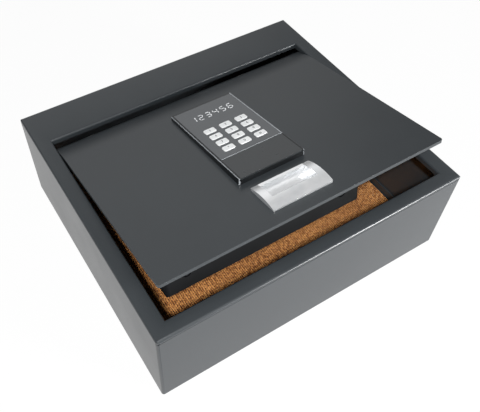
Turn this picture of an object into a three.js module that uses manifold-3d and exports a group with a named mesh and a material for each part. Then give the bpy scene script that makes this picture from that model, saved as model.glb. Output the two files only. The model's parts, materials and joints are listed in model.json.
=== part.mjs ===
// Top-loading safe with a tilting lid, an electronic keypad and motor-driven bolts.
// Sizes are in millimetres. X runs across the width, -Y is the front and +Z is up.
// The origin is the middle of the underside. The lid stands ajar at its rest angle.

import * as THREE from 'three';
import { mergeVertices } from 'three/addons/utils/BufferGeometryUtils.js';
import Module from 'manifold-3d';

const wasm = await Module();
wasm.setup();

// Case
const caseWidth = 400;
const caseDepth = 350;
const caseHeight = 127;
const sheet = 2;
const bendRadius = 3;
const sideBorder = 19;
const frontBorder = 18;
const rearBorder = 55;
const lipDepth = 7.5;
const lipBend = 2.5;
const topFlange = 4.3;
const topSeam = 0.8;
const reliefRadius = 1.4;
const panelReturn = 17;

// Base, mat and fixings
const baseFlange = 14;
const fixingRadius = 5;
const baseFixingX = 150;
const baseFixingY = 120;
const rearFixingX = 120;
const rearFixingZ = 84;
const matThickness = 3;
const matClearance = 1.5;

// Lid
const lidAngle = THREE.MathUtils.degToRad(10.8);
const lidThickness = 4;
const lidSideGap = 1;
const lidEndGap = 1.5;
const lidRollRadius = 17;
const lidSkirt = 10;
const lidCornerRadius = 3;

// Hinges
const hingeInset = 27.3;
const hingeDrop = 27.4;
const hingeSheet = 3;
const hingePinRadius = 4;
const hingeBoreGap = 0.25;
const hingeBracketWidth = 34;
const hingeBracketDepth = 16;
const hingeBracketRise = 14.4;
const hingeBracketDrop = 29.6;
const hingeEarRadius = 11;
const hingeEarFoot = 38;
const hingeEarFlange = 23;
const hingeEarInset = 1;
const hingeWasherRadius = 9;
const hingeWasher = 2.4;
const discSpringHeight = 1.9;
const discSpringThickness = 1;
const hingeNutWidth = 13;
const hingeNutHeight = 5;
const pinHeadRadius = 7;
const pinHeadHeight = 3.5;
const pinEnd = 2;
const pinChamfer = 1;

// Fit between pieces that touch inside the tilted lid
const seat = 0.3;

// Finger pull
const pullWidth = 76.6;
const pullDepth = 42.1;
const pullInset = 16.5;
const pullEdge = 2.5;
const pullCrown = 6.1;
const pullCorner = 1.5;
const scoopRadius = 16.2;
const scoopToe = 5;
const scoopLip = 3;
const scoopWidth = 58;
const scoopInset = 39;
const scoopRise = 5.8;
const scoopWall = 1.5;

// Keypad housing
const keypadWidth = 86;
const keypadInset = 71.7;
const keypadRearHeight = 4.8;
const keypadFrontHeight = 8.3;
const keypadRail = 2.2;
const keypadDraft = 0.8;
const keypadPocket = 14;
const keypadCorner = 2;
const keypadChamfer = 0.7;
const keypadLedge = 1.5;
const crossBar = 3.5;
const coverLength = 39.5;
const fasciaThickness = 2;
const fasciaProud = 0.5;
const fasciaCorner = 0.5;

// Keys and display
const keyWidth = 14.6;
const keyHeight = 9;
const keyCorner = 2;
const keyPitchX = 21.6;
const keyPitchY = 13.7;
const keyRows = 4;
const keyColumns = 3;
const firstRow = 57;
const lastRow = 14.3;
const keyProud = 0.8;
const keyTravel = 0.8;
const keyFlange = 1;
const keyFit = 0.3;
const keyEase = 0.35;
const switchHeight = 0.6;
const switchRadius = 2.2;
const boardThickness = 1;
const displayWidth = 64;
const displayDepth = 16;
const displayHeight = 3;
const displayRow = 23.5;

// Sliding cover over the override lock
const coverThickness = 2.2;
const coverFit = 0.3;
const tongueDepth = 1.2;
const tongueThickness = 1;

// Override lock
const barrelRadius = 9;
const barrelHeadRadius = 10.5;
const barrelHeadHeight = 2.4;
const barrelDrop = 20;
const barrelEase = 0.6;
const plugRadius = 5.5;
const plugGap = 0.2;
const keyway = 1.8;
const keywayWidth = 7.7;
const keywayDepth = 7.2;
const lockInset = 93;
const camThickness = 2;
const camFingerRadius = 2.5;
const camHubRadius = 8;
const contactSpacing = 44;
const contactRadius = 3.5;
const contactShank = 1.6;

// Lock cover under the lid
const coverWall = 1.5;
const lockCoverGap = 10;
const lockCoverRight = 70;
const lockCoverInset = 10;
const lockCoverDepth = 165.5;
const lockCoverHeight = 31;
const lockCoverCorner = 4;
const lockCoverFlange = 8;

// Bolts and bolt bar
const boltRadius = 5;
const boltInset = 25;
const boltDrop = 14;
const boltLength = 40;
const boltTravel = 22;
const boltHoleGap = 0.6;
const boltChamfer = 1;
const boltNeckRadius = 3;
const boltNeck = 6;
const barThickness = 3;
const barDrop = 30;
const barAbove = 1;
const barOverhang = 12;
const barToCup = 1;
const keeperInset = 5;
const keeperSheet = 3;
const keeperHoleGap = 1.2;
const keeperFoot = 5;
const armThickness = 3;
const guideWidth = 22;
const guideBelow = 8.5;
const guideToBar = 0.6;

// Rack and pinion
const gearModule = 1;
const pinionTeeth = 18;
const pressureAngle = THREE.MathUtils.degToRad(20);
const backlash = 0.2;
const rackThickness = 4;
const pinionThickness = 5;
const hubRadius = 4.5;
const hubHeight = 2;
const rackBack = 8.75;
const rackTeeth = 12;
const pinionSide = 47;
const pinionInset = 75.5;
const shaftRadius = 2.5;
const shaftFlat = 1;
const shaftEnd = 0.5;
const shaftGap = 0.2;

// Gear motor
const gearboxWidth = 26;
const gearboxDepth = 32;
const gearboxHeight = 13;
const motorRadius = 6;
const motorLength = 30;
const motorBossRadius = 2;
const motorBoss = 2;
const gearboxCorner = 2;
const motorBracketSheet = 2;
const motorBracketWidth = 38;

// Electronics
const controlBoardWidth = 44;
const controlBoardDepth = 50;
const controlBoardGap = 4;
const controlBoardInset = 142;
const boardPartInset = 8;
const relayWidth = 16;
const relayDepth = 12;
const relayHeight = 8;
const connectorWidth = 12;
const connectorDepth = 6;
const connectorHeight = 6;
const chipWidth = 8;
const chipDepth = 12;
const chipHeight = 1.6;
const standoffHeight = 4;
const standoffRadius = 2.5;
const boardMargin = 1;
const mainBoardThickness = 1.6;
const cellRadius = 7.1;
const cellLength = 48.5;
const cellPitch = 15;
const cellEndGap = 1;
const cellEase = 0.8;
const cellNub = 2.6;
const cellNubHeight = 1.2;
const cellCount = 4;
const trayWall = 2;
const trayGap = 8;
const trayInset = 94;
const doorCorner = 2;

// Derived places
const halfWidth = caseWidth / 2;
const halfDepth = caseDepth / 2;
const openingX = halfWidth - sideBorder;
const openingFront = -halfDepth + frontBorder;
const openingRear = halfDepth - rearBorder;
const lidHalf = openingX - lidSideGap;
const lidFront = openingFront + lidEndGap;
const lidRear = openingRear - lidEndGap;
const lidTop = caseHeight;
const lidUnder = lidTop - lidThickness;
const hingeY = lidRear - hingeInset;
const hingeZ = caseHeight - hingeDrop;
const boltZ = caseHeight - boltDrop;
const lockCoverLeft = lidHalf - lockCoverGap;
const boltXs = [-lockCoverLeft + boltInset, lockCoverRight - boltInset];
const lockCoverFront = lidFront + lockCoverInset;
const barFront = lockCoverFront + seat + boltLength;
const keypadLength = firstRow + (keyRows - 1) * keyPitchY + lastRow + coverLength;
const keypadSlope = Math.atan((keypadFrontHeight - keypadRearHeight) / keypadLength);
const lockY = lidFront + lockInset;
const pinionX = -pinionSide;
const pinionY = lidFront + pinionInset;
const pitchRadius = gearModule * pinionTeeth / 2;

// Materials
function finish(color, roughness, metalness) {
  return new THREE.MeshStandardMaterial({ color, roughness, metalness });
}
const casePaint = finish(0x54585b, 0.5, 0.1);
const lidPaint = finish(0x4b4f52, 0.45, 0.1);
const coverPaint = finish(0x17191c, 0.55, 0.1);
const matFabric = finish(0x8a5a2c, 0.95, 0);
const chrome = finish(0xdfe2e5, 0.12, 1);
const zincSteel = finish(0x9da1a6, 0.35, 1);
const brass = finish(0xb89a56, 0.3, 1);
const blackPlastic = finish(0x2b2e31, 0.4, 0);
const fasciaPlastic = finish(0x3a3e42, 0.2, 0);
const keyPlastic = finish(0xf2f3f4, 0.4, 0);
const nylon = finish(0xd8d5c8, 0.5, 0);
const boardGreen = finish(0x1e5a3a, 0.5, 0);
const cellWrap = finish(0x3c4a78, 0.4, 0);

// Booleans on closed geometries
function toSolid(geometry) {
  const bare = geometry.clone();
  bare.deleteAttribute('normal');
  bare.deleteAttribute('uv');
  const merged = mergeVertices(bare, 1e-4);
  const vertProperties = new Float32Array(merged.attributes.position.array);
  const triVerts = new Uint32Array(merged.index.array);
  return new wasm.Manifold(new wasm.Mesh({ numProp: 3, vertProperties, triVerts }));
}

function toGeometry(solid) {
  const mesh = solid.getMesh();
  const geometry = new THREE.BufferGeometry();
  geometry.setAttribute('position', new THREE.BufferAttribute(mesh.vertProperties, 3));
  geometry.setIndex(new THREE.BufferAttribute(mesh.triVerts, 1));
  return geometry;
}

function join(first, ...others) {
  return toGeometry(others.reduce((sum, other) => sum.add(toSolid(other)), toSolid(first)));
}

function cut(body, ...tools) {
  return toGeometry(tools.reduce((rest, tool) => rest.subtract(toSolid(tool)), toSolid(body)));
}

function common(first, second) {
  return toGeometry(toSolid(first).intersect(toSolid(second)));
}

// Basic forms
function block(x0, x1, y0, y1, z0, z1) {
  const geometry = new THREE.BoxGeometry(x1 - x0, y1 - y0, z1 - z0);
  return geometry.translate((x0 + x1) / 2, (y0 + y1) / 2, (z0 + z1) / 2);
}

const axisX = new THREE.Vector3(1, 0, 0);
const axisY = new THREE.Vector3(0, 1, 0);
const axisZ = new THREE.Vector3(0, 0, 1);

function extruded(outline, depth, curveSegments) {
  return new THREE.ExtrudeGeometry(outline, { depth, bevelEnabled: false, curveSegments });
}

// An outline drawn in Y and Z, drawn out along X
function alongX(outline, from, to, curveSegments = 6) {
  const geometry = extruded(outline, to - from, curveSegments);
  geometry.applyMatrix4(new THREE.Matrix4().makeBasis(axisY, axisZ, axisX));
  return geometry.translate(from, 0, 0);
}

// An outline drawn in X and Z, drawn out along Y
function alongY(outline, from, to, curveSegments = 6) {
  const geometry = extruded(outline, to - from, curveSegments);
  geometry.applyMatrix4(new THREE.Matrix4().makeBasis(axisX, axisZ, axisY.clone().negate()));
  return geometry.translate(0, to, 0);
}

// An outline drawn in X and Y, drawn out along Z
function alongZ(outline, from, to, curveSegments = 4) {
  const geometry = extruded(outline, to - from, curveSegments);
  return geometry.translate(0, 0, from);
}

// A turned piece about X, Y or Z. The profile lists [radius, distance along the axis], lowest first.
function turned(profile, axis, sides = 16) {
  const points = profile.map(([radius, along]) => new THREE.Vector2(radius, along));
  const geometry = new THREE.LatheGeometry(points, sides);
  if (axis === axisX) geometry.rotateZ(-Math.PI / 2);
  if (axis === axisZ) geometry.rotateX(Math.PI / 2);
  return geometry;
}

function rod(radius, axis, from, to, sides = 16) {
  return turned([[0, from], [radius, from], [radius, to], [0, to]], axis, sides);
}

function roundedRectangle(x0, x1, y0, y1, radius) {
  const outline = new THREE.Shape();
  outline.moveTo(x0 + radius, y0);
  outline.lineTo(x1 - radius, y0);
  outline.absarc(x1 - radius, y0 + radius, radius, -Math.PI / 2, 0, false);
  outline.lineTo(x1, y1 - radius);
  outline.absarc(x1 - radius, y1 - radius, radius, 0, Math.PI / 2, false);
  outline.lineTo(x0 + radius, y1);
  outline.absarc(x0 + radius, y1 - radius, radius, Math.PI / 2, Math.PI, false);
  outline.lineTo(x0, y0 + radius);
  outline.absarc(x0 + radius, y0 + radius, radius, Math.PI, Math.PI * 1.5, false);
  return outline;
}

// The outline's points without the one that repeats the start
function openLoop(outline, curveSegments) {
  return outline.getPoints(curveSegments).slice(0, -1);
}

// A solid through a stack of level outlines with the same number of points
function stack(levels) {
  const count = levels[0].points.length;
  const positions = [];
  const indices = [];
  for (const { points, z } of levels) {
    for (const point of points) positions.push(point.x, point.y, z);
  }
  for (let level = 0; level + 1 < levels.length; level += 1) {
    for (let i = 0; i < count; i += 1) {
      const next = (i + 1) % count;
      const a = level * count + i;
      const b = level * count + next;
      indices.push(a, b, b + count, a, b + count, a + count);
    }
  }
  const ends = THREE.ShapeUtils.triangulateShape(levels[0].points, []);
  const top = (levels.length - 1) * count;
  for (const [a, b, c] of ends) {
    indices.push(c, b, a);
    indices.push(top + a, top + b, top + c);
  }
  const geometry = new THREE.BufferGeometry();
  geometry.setAttribute('position', new THREE.Float32BufferAttribute(positions, 3));
  geometry.setIndex(indices);
  return geometry;
}

function mirrored(geometry) {
  const copy = toGeometry(toSolid(geometry)).scale(-1, 1, 1);
  const order = copy.index.array;
  for (let i = 0; i < order.length; i += 3) {
    const first = order[i];
    order[i] = order[i + 1];
    order[i + 1] = first;
  }
  return copy;
}

// The outline of a strip of sheet folded at each corner point. The points lie on one face, and the
// other face is to the left of the way they run. Every fold has the same outer radius.
function foldedSheet(corners, thickness, outerRadius, steps = 5) {
  const points = corners.map(([u, v]) => new THREE.Vector2(u, v));
  const face = [points[0].clone()];
  const back = [];
  let heading = points[1].clone().sub(points[0]).normalize();
  back.push(points[0].clone().add(leftOf(heading).multiplyScalar(thickness)));
  for (let i = 1; i + 1 < points.length; i += 1) {
    const next = points[i + 1].clone().sub(points[i]).normalize();
    const turn = Math.atan2(heading.cross(next), heading.dot(next));
    const side = Math.sign(turn);
    const faceRadius = side > 0 ? outerRadius : outerRadius - thickness;
    const backRadius = side > 0 ? outerRadius - thickness : outerRadius;
    const start = points[i].clone().addScaledVector(heading, -faceRadius * Math.tan(Math.abs(turn) / 2));
    const centre = start.clone().addScaledVector(leftOf(heading), side * faceRadius);
    const first = leftOf(heading).multiplyScalar(-side);
    for (let step = 0; step <= steps; step += 1) {
      const spoke = first.clone().rotateAround(new THREE.Vector2(), turn * step / steps);
      face.push(centre.clone().addScaledVector(spoke, faceRadius));
      back.push(centre.clone().addScaledVector(spoke, backRadius));
    }
    heading = next;
  }
  const end = points[points.length - 1];
  face.push(end.clone());
  back.push(end.clone().add(leftOf(heading).multiplyScalar(thickness)));
  return new THREE.Shape([...face, ...back.reverse()]);
}

function leftOf(direction) {
  return new THREE.Vector2(-direction.y, direction.x);
}

function piece(name, geometry, material) {
  const mesh = new THREE.Mesh(geometry, material);
  mesh.name = name;
  return mesh;
}

// Case

function openingPlug() {
  const steps = 4;
  const floor = caseHeight - lipDepth - sheet;
  const levels = [{ points: openingOutline(0), z: floor }];
  for (let i = 0; i <= steps; i += 1) {
    const angle = Math.PI / 2 * i / steps;
    const grow = lipBend * (1 - Math.cos(angle));
    levels.push({ points: openingOutline(grow), z: caseHeight - lipBend * (1 - Math.sin(angle)) });
  }
  levels.push({ points: openingOutline(lipBend), z: caseHeight + sheet });
  return stack(levels);
}

function openingOutline(grow) {
  const corners = [
    [-openingX - grow, openingFront - grow],
    [openingX + grow, openingFront - grow],
    [openingX + grow, openingRear + grow],
    [-openingX - grow, openingRear + grow],
  ];
  return corners.map(([x, y]) => new THREE.Vector2(x, y));
}

// Block with the case's outer bends, drawn in by inset and open downwards
function caseForm(inset) {
  const x = halfWidth - inset;
  const y = halfDepth - inset;
  const top = caseHeight - inset;
  const radius = bendRadius - inset;
  const across = alongY(roundedRectangle(-x, x, -top, top, radius), -y, y, 3);
  const lengthways = alongX(roundedRectangle(-y, y, -top, top, radius), -x, x, 3);
  const plan = alongZ(roundedRectangle(-x, x, -y, y, radius), -inset, top, 3);
  return common(common(across, lengthways), plan);
}

const flangeLow = caseHeight - topFlange;
const panelTop = flangeLow - topSeam;

// Top and both sides are one folded sheet, with a turned-down lip round the opening and a short flange
// at each end. Below the flanges the sides stop short, where the end panels' round corners carry on.
function bodyWrap() {
  const shell = cut(caseForm(0), caseForm(sheet));
  const lip = block(
    -openingX - sheet, openingX + sheet,
    openingFront - sheet, openingRear + sheet,
    caseHeight - lipDepth, caseHeight - sheet / 2,
  );
  const ends = [-1, 1].map((side) => {
    const edge = side * (halfDepth - bendRadius);
    const past = side * (halfDepth + sheet);
    return block(-caseWidth, caseWidth, Math.min(edge, past), Math.max(edge, past), -sheet, flangeLow);
  });
  return cut(join(shell, lip), openingPlug(), ...ends, ...cornerReliefs());
}

// Round reliefs where top, side and end panel meet
function cornerReliefs() {
  const reliefs = [];
  for (const x of [-1, 1]) {
    for (const y of [-1, 1]) {
      const hole = rod(reliefRadius, axisY, -bendRadius, bendRadius, 12);
      reliefs.push(hole.translate(
        x * (halfWidth - bendRadius + reliefRadius / 2),
        y * halfDepth,
        flangeLow - topSeam / 2,
      ));
    }
  }
  return reliefs;
}

// Front and rear panels have round vertical corners and returns that lie inside the case sides
function endPanel(side) {
  const outer = -halfDepth;
  const corner = halfWidth - bendRadius;
  const inside = halfWidth - sheet;
  const returnEnd = outer + bendRadius + panelReturn;
  const outline = new THREE.Shape();
  outline.moveTo(-inside, returnEnd);
  outline.lineTo(-inside, outer + bendRadius);
  outline.lineTo(-halfWidth, outer + bendRadius);
  outline.absarc(-corner, outer + bendRadius, bendRadius, Math.PI, Math.PI * 1.5, false);
  outline.lineTo(corner, outer);
  outline.absarc(corner, outer + bendRadius, bendRadius, -Math.PI / 2, 0, false);
  outline.lineTo(inside, outer + bendRadius);
  outline.lineTo(inside, returnEnd);
  outline.lineTo(inside - sheet, returnEnd);
  outline.lineTo(inside - sheet, outer + sheet * 2);
  outline.absarc(inside - sheet * 2, outer + sheet * 2, sheet, 0, -Math.PI / 2, true);
  outline.lineTo(-inside + sheet * 2, outer + sheet);
  outline.absarc(-inside + sheet * 2, outer + sheet * 2, sheet, -Math.PI / 2, -Math.PI, true);
  outline.lineTo(-inside + sheet, returnEnd);
  const panel = cut(alongZ(outline, 0, panelTop), ...cornerReliefs());
  return side < 0 ? panel : panel.rotateZ(Math.PI);
}

function rearPanel() {
  const holes = [-rearFixingX, rearFixingX].map((x) => {
    return rod(fixingRadius, axisY, halfDepth - sheet * 2, halfDepth + sheet).translate(x, 0, rearFixingZ);
  });
  return cut(endPanel(1), ...holes);
}

function basePlate() {
  const half = halfWidth - sheet;
  const section = [[-half, baseFlange], [-half, 0], [half, 0], [half, baseFlange]];
  const tray = foldedSheet(section, sheet, bendRadius);
  const flangeEnd = halfDepth - bendRadius - panelReturn - sheet;
  const ends = halfDepth - sheet;
  const plate = alongZ(roundedRectangle(-half + sheet, half - sheet, -ends, ends, bendRadius), 0, sheet);
  const holes = [];
  for (const x of [-baseFixingX, baseFixingX]) {
    for (const y of [-baseFixingY, baseFixingY]) {
      holes.push(rod(fixingRadius, axisZ, -sheet, sheet * 2).translate(x, y, 0));
    }
  }
  return cut(join(alongY(tray, -flangeEnd, flangeEnd), plate), ...holes);
}

function floorMat() {
  const x = halfWidth - sheet * 2 - matClearance;
  const y = halfDepth - sheet - matClearance;
  return alongZ(roundedRectangle(-x, x, -y, y, matThickness), sheet, sheet + matThickness);
}

// Angle behind the front lip with a round hole for each bolt
function keeperRail() {
  const face = openingFront - sheet;
  const under = caseHeight - sheet;
  const foot = boltZ - boltRadius - keeperFoot;
  const angle = foldedSheet(
    [[face, foot], [face, under], [-halfDepth + bendRadius, under]],
    keeperSheet,
    keeperSheet + 1,
  );
  const rail = alongX(angle, -lockCoverLeft + keeperInset, lockCoverRight - keeperInset);
  const holes = boltXs.map((x) => {
    const hole = rod(boltRadius + keeperHoleGap, axisY, face - keeperSheet * 2, face + keeperSheet);
    return hole.translate(x, 0, boltZ);
  });
  return cut(rail, ...holes);
}

// Hinges, each drawn for the right side and mirrored for the left

const bracketOuter = halfWidth - sheet;
const bracketInner = bracketOuter - hingeBracketDepth;
const earOuter = lidHalf - hingeEarInset;
const earInner = earOuter - hingeSheet;

function atHinge(geometry) {
  return geometry.translate(0, hingeY, hingeZ);
}

function hingeBracket() {
  const low = -hingeBracketDrop;
  const channel = foldedSheet(
    [
      [bracketInner, hingeBracketRise],
      [bracketInner, low],
      [bracketOuter, low],
      [bracketOuter, hingeBracketRise],
    ],
    hingeSheet,
    hingeSheet + 1,
  );
  const body = alongY(channel, -hingeBracketWidth / 2, hingeBracketWidth / 2);
  const bore = rod(hingePinRadius + hingeBoreGap, axisX, bracketInner - 1, bracketInner + hingeSheet + 1);
  return atHinge(cut(body, bore));
}

function hingePin() {
  const headInner = bracketInner + hingeSheet + seat;
  const tip = earInner - seat * 2 - discSpringHeight - hingeNutHeight - pinEnd;
  return atHinge(turned([
    [0, tip],
    [hingePinRadius - pinChamfer, tip],
    [hingePinRadius, tip + pinChamfer],
    [hingePinRadius, headInner],
    [pinHeadRadius, headInner],
    [pinHeadRadius, headInner + pinHeadHeight - pinChamfer],
    [pinHeadRadius - pinChamfer, headInner + pinHeadHeight],
    [0, headInner + pinHeadHeight],
  ], axisX));
}

function ring(inner, outer, from, to, sides) {
  return turned([[inner, from], [outer, from], [outer, to], [inner, to], [inner, from]], axisX, sides);
}

function frictionWasher() {
  const from = earOuter + (bracketInner - earOuter - hingeWasher) / 2;
  return atHinge(ring(hingePinRadius + hingeBoreGap, hingeWasherRadius, from, from + hingeWasher));
}

// Dished disc spring between the nut and the ear
function springWasher() {
  const inner = hingePinRadius + hingeBoreGap;
  const outer = hingeWasherRadius;
  const low = earInner - seat - discSpringHeight;
  const rise = discSpringHeight - discSpringThickness;
  return atHinge(turned([
    [inner, low],
    [outer, low + rise],
    [outer, low + discSpringHeight],
    [inner, low + discSpringThickness],
    [inner, low],
  ], axisX));
}

function hingeNut() {
  const to = earInner - seat * 2 - discSpringHeight;
  const from = to - hingeNutHeight;
  const hexagon = rod(hingeNutWidth / Math.sqrt(3), axisX, from, to, 6);
  const bore = rod(hingePinRadius + hingeBoreGap / 2, axisX, from - 1, to + 1);
  return atHinge(cut(hexagon, bore));
}

// Lug under the lid that turns on the pin
function hingeEar() {
  const top = lidUnder - seat;
  const foot = hingeZ - hingeEarRadius - 1;
  const angle = foldedSheet(
    [[earOuter, foot], [earOuter, top], [earOuter - hingeEarFlange, top]],
    hingeSheet,
    hingeSheet + 1,
  );
  const rear = lidRear - lidRollRadius;
  const body = alongY(angle, rear - hingeEarFoot, hingeY + hingeEarRadius);
  const taper = new THREE.Shape([
    new THREE.Vector2(rear - hingeEarFoot, top + 1),
    new THREE.Vector2(rear - hingeEarFoot, top - hingeSheet * 2),
    new THREE.Vector2(hingeY - hingeEarRadius, hingeZ),
    new THREE.Vector2(hingeY + hingeEarRadius, hingeZ),
    new THREE.Vector2(rear, top - hingeSheet * 2),
    new THREE.Vector2(rear, top + 1),
  ]);
  const from = earOuter - hingeEarFlange - 1;
  const side = join(
    alongX(taper, from, earOuter + 1),
    atHinge(rod(hingeEarRadius, axisX, from, earOuter + 1)),
  );
  const bore = atHinge(rod(hingePinRadius + hingeBoreGap, axisX, earInner - 1, earOuter + 1));
  return cut(common(body, side), bore);
}

// Lid

const pullFront = lidFront + pullInset;
const pullRear = pullFront + pullDepth;
const pullBase = lidTop + seat;
const archRise = pullCrown - pullEdge;
const archRadius = (pullDepth ** 2 / 4 + archRise ** 2) / (2 * archRise);
const archY = (pullFront + pullRear) / 2;
const archZ = lidTop + pullCrown - archRadius;
const scoopY = lidFront + scoopInset;
const scoopZ = lidTop + scoopRise;
const scoopHalf = scoopWidth / 2;
const toeZ = scoopZ - scoopRadius + scoopToe;
const cupHalf = scoopHalf + scoopWall;
const cupRadius = scoopRadius + scoopWall;
const cupFront = scoopY - scoopToe - scoopWall;
const cupRear = scoopY + Math.sqrt(cupRadius ** 2 - (scoopZ - pullBase) ** 2);
const cupLow = scoopZ - cupRadius;

// Flat plate whose rear edge rolls down beside the hinge line
function lidPlate() {
  const folded = foldedSheet(
    [[lidRear, lidTop - lidRollRadius - lidSkirt], [lidRear, lidTop], [lidFront, lidTop]],
    lidThickness,
    lidRollRadius,
    8,
  );
  const plan = new THREE.Shape();
  const cornerX = lidHalf - lidCornerRadius;
  const cornerY = lidFront + lidCornerRadius;
  plan.moveTo(-lidHalf, lidRear + 1);
  plan.lineTo(-lidHalf, cornerY);
  plan.absarc(-cornerX, cornerY, lidCornerRadius, Math.PI, Math.PI * 1.5, false);
  plan.absarc(cornerX, cornerY, lidCornerRadius, -Math.PI / 2, 0, false);
  plan.lineTo(lidHalf, lidRear + 1);
  const plate = common(alongX(folded, -lidHalf, lidHalf), alongZ(plan, 0, lidTop + 1));
  const holes = [
    block(-cupHalf - seat, cupHalf + seat, cupFront - seat, cupRear + seat, lidUnder - 1, lidTop + 1),
    rod(barrelRadius + seat, axisZ, lidUnder - 1, lidTop + 1).translate(0, lockY, 0),
    alongZ(cableSlot(), lidUnder - 1, lidTop + 1),
  ];
  for (const x of contactXs) {
    holes.push(rod(contactShank + seat, axisZ, lidUnder - 1, lidTop + 1, 16).translate(x, lockY, 0));
  }
  return cut(plate, ...holes);
}

const contactXs = [-contactSpacing / 2, contactSpacing / 2];

// Slot for the keypad's ribbon, under the middle of the keys
function cableSlot() {
  const y = keypadRearY - firstRow - keyPitchY * 1.5;
  return roundedRectangle(-keyWidth / 2, keyWidth / 2, y - keyCorner, y + keyCorner, keyCorner - 0.1);
}

const keypadFrontY = lidFront + keypadInset;
const keypadRearY = keypadFrontY + keypadLength;

// Trough for the fingertips, cut across. The pull's face runs over a round lip and drops to a tight toe,
// and from there a wide arc rises to the rear.
function troughOutline() {
  const lipY = scoopY - scoopToe - scoopLip;
  const lipZ = archZ + Math.sqrt((archRadius - scoopLip) ** 2 - (lipY - archY) ** 2);
  const lipAngle = Math.atan2(lipZ - archZ, lipY - archY);
  const outline = new THREE.Shape();
  outline.moveTo(scoopY + scoopRadius, scoopZ + pullCrown);
  outline.lineTo(archY + archRadius * Math.cos(lipAngle), scoopZ + pullCrown);
  outline.absarc(lipY, lipZ, scoopLip, lipAngle, 0, true);
  outline.absarc(scoopY, toeZ, scoopToe, Math.PI, Math.PI * 1.5, false);
  outline.absarc(scoopY, scoopZ, scoopRadius, Math.PI * 1.5, Math.PI * 2, false);
  return outline;
}

// Outside of the cup below the lid, up to just inside the pull's base
function cupOutline() {
  const top = pullBase + pullEdge / 2;
  const outline = new THREE.Shape();
  outline.moveTo(cupFront, top);
  outline.lineTo(cupFront, toeZ);
  outline.absarc(scoopY, toeZ, scoopToe + scoopWall, Math.PI, Math.PI * 1.5, false);
  const rise = Math.asin((scoopZ - pullBase) / cupRadius);
  outline.absarc(scoopY, scoopZ, cupRadius, Math.PI * 1.5, Math.PI * 2 - rise, false);
  outline.lineTo(cupRear, top);
  return outline;
}

// Arched chrome pull. The trough leaves a cheek at each end and a flat rim along the rear.
function fingerPull() {
  const reach = Math.asin(pullDepth / 2 / archRadius);
  const arch = new THREE.Shape();
  arch.moveTo(pullFront, pullBase);
  arch.lineTo(pullRear, pullBase);
  arch.absarc(archY, archZ, archRadius, Math.PI / 2 - reach, Math.PI / 2 + reach, false);
  const half = pullWidth / 2;
  const plan = roundedRectangle(-half, half, pullFront, pullRear, pullCorner);
  const body = common(alongX(arch, -half, half, 18), alongZ(plan, lidTop, lidTop + pullCrown * 2));
  const cup = alongX(cupOutline(), -cupHalf, cupHalf, 8);
  const trough = alongX(troughOutline(), -scoopHalf, scoopHalf, 8);
  const aboveRim = block(
    -scoopHalf, scoopHalf, scoopY, pullRear + pullEdge, lidTop + pullEdge, lidTop + pullCrown * 2,
  );
  return cut(join(body, cup), trough, aboveRim);
}

// Folded box under the lid, open at the top, with holes for the bolts and the batteries
function lockCover() {
  const top = lidUnder - seat;
  const bottom = lidUnder - lockCoverHeight;
  const rear = lockCoverFront + lockCoverDepth;
  const shell = alongZ(
    roundedRectangle(-lockCoverLeft, lockCoverRight, lockCoverFront, rear, lockCoverCorner), bottom, top,
  );
  const hollow = alongZ(
    roundedRectangle(
      -lockCoverLeft + coverWall, lockCoverRight - coverWall,
      lockCoverFront + coverWall, rear - coverWall,
      lockCoverCorner - coverWall,
    ),
    bottom + coverWall, top + 1,
  );
  const flange = alongZ(
    roundedRectangle(
      -lockCoverLeft - lockCoverFlange, lockCoverRight + lockCoverFlange,
      lockCoverFront + lockCoverFlange, rear - lockCoverFlange,
      lockCoverCorner,
    ),
    top - coverWall, top,
  );
  const holes = boltXs.map((x) => {
    const hole = rod(boltRadius + boltHoleGap, axisY, lockCoverFront - 1, lockCoverFront + coverWall + 1);
    return hole.translate(x, 0, boltZ);
  });
  const hatch = alongZ(batteryDoorOutline(seat), bottom - 1, bottom + coverWall + 1);
  return cut(join(shell, flange), hollow, ...holes, hatch);
}

// Bolt work

const barRear = barFront + barThickness;
const barLow = lidTop - barDrop;
const barTop = boltZ + boltRadius + barAbove;
const pitchLine = pinionX - pitchRadius;
const armFront = barRear - 1;
const camReach = boltTravel;
const windowRear = lockY + camFingerRadius + plugGap;
const windowFront = lockY - camReach - camFingerRadius - seat * 2;

// Rack teeth on the +X side, drawn in X and Y with one tooth space facing the pinion
function rackOutline() {
  const addendum = gearModule;
  const dedendum = gearModule * 1.25;
  const pitch = Math.PI * gearModule;
  const slope = Math.tan(pressureAngle);
  const half = pitch / 4 - backlash / 2;
  const outline = new THREE.Shape();
  const first = pinionY - pitch * 3;
  const root = pitchLine - dedendum;
  outline.moveTo(root - rackBack, armFront);
  outline.lineTo(root, armFront);
  for (let tooth = 0; tooth < rackTeeth; tooth += 1) {
    const y = first + pitch * (tooth + 0.5);
    outline.lineTo(root, y - half - dedendum * slope);
    outline.lineTo(pitchLine + addendum, y - half + addendum * slope);
    outline.lineTo(pitchLine + addendum, y + half - addendum * slope);
    outline.lineTo(root, y + half + dedendum * slope);
  }
  const end = first + pitch * (rackTeeth + 0.5);
  outline.lineTo(root, end);
  outline.lineTo(root - rackBack, end);
  return outline;
}

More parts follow.
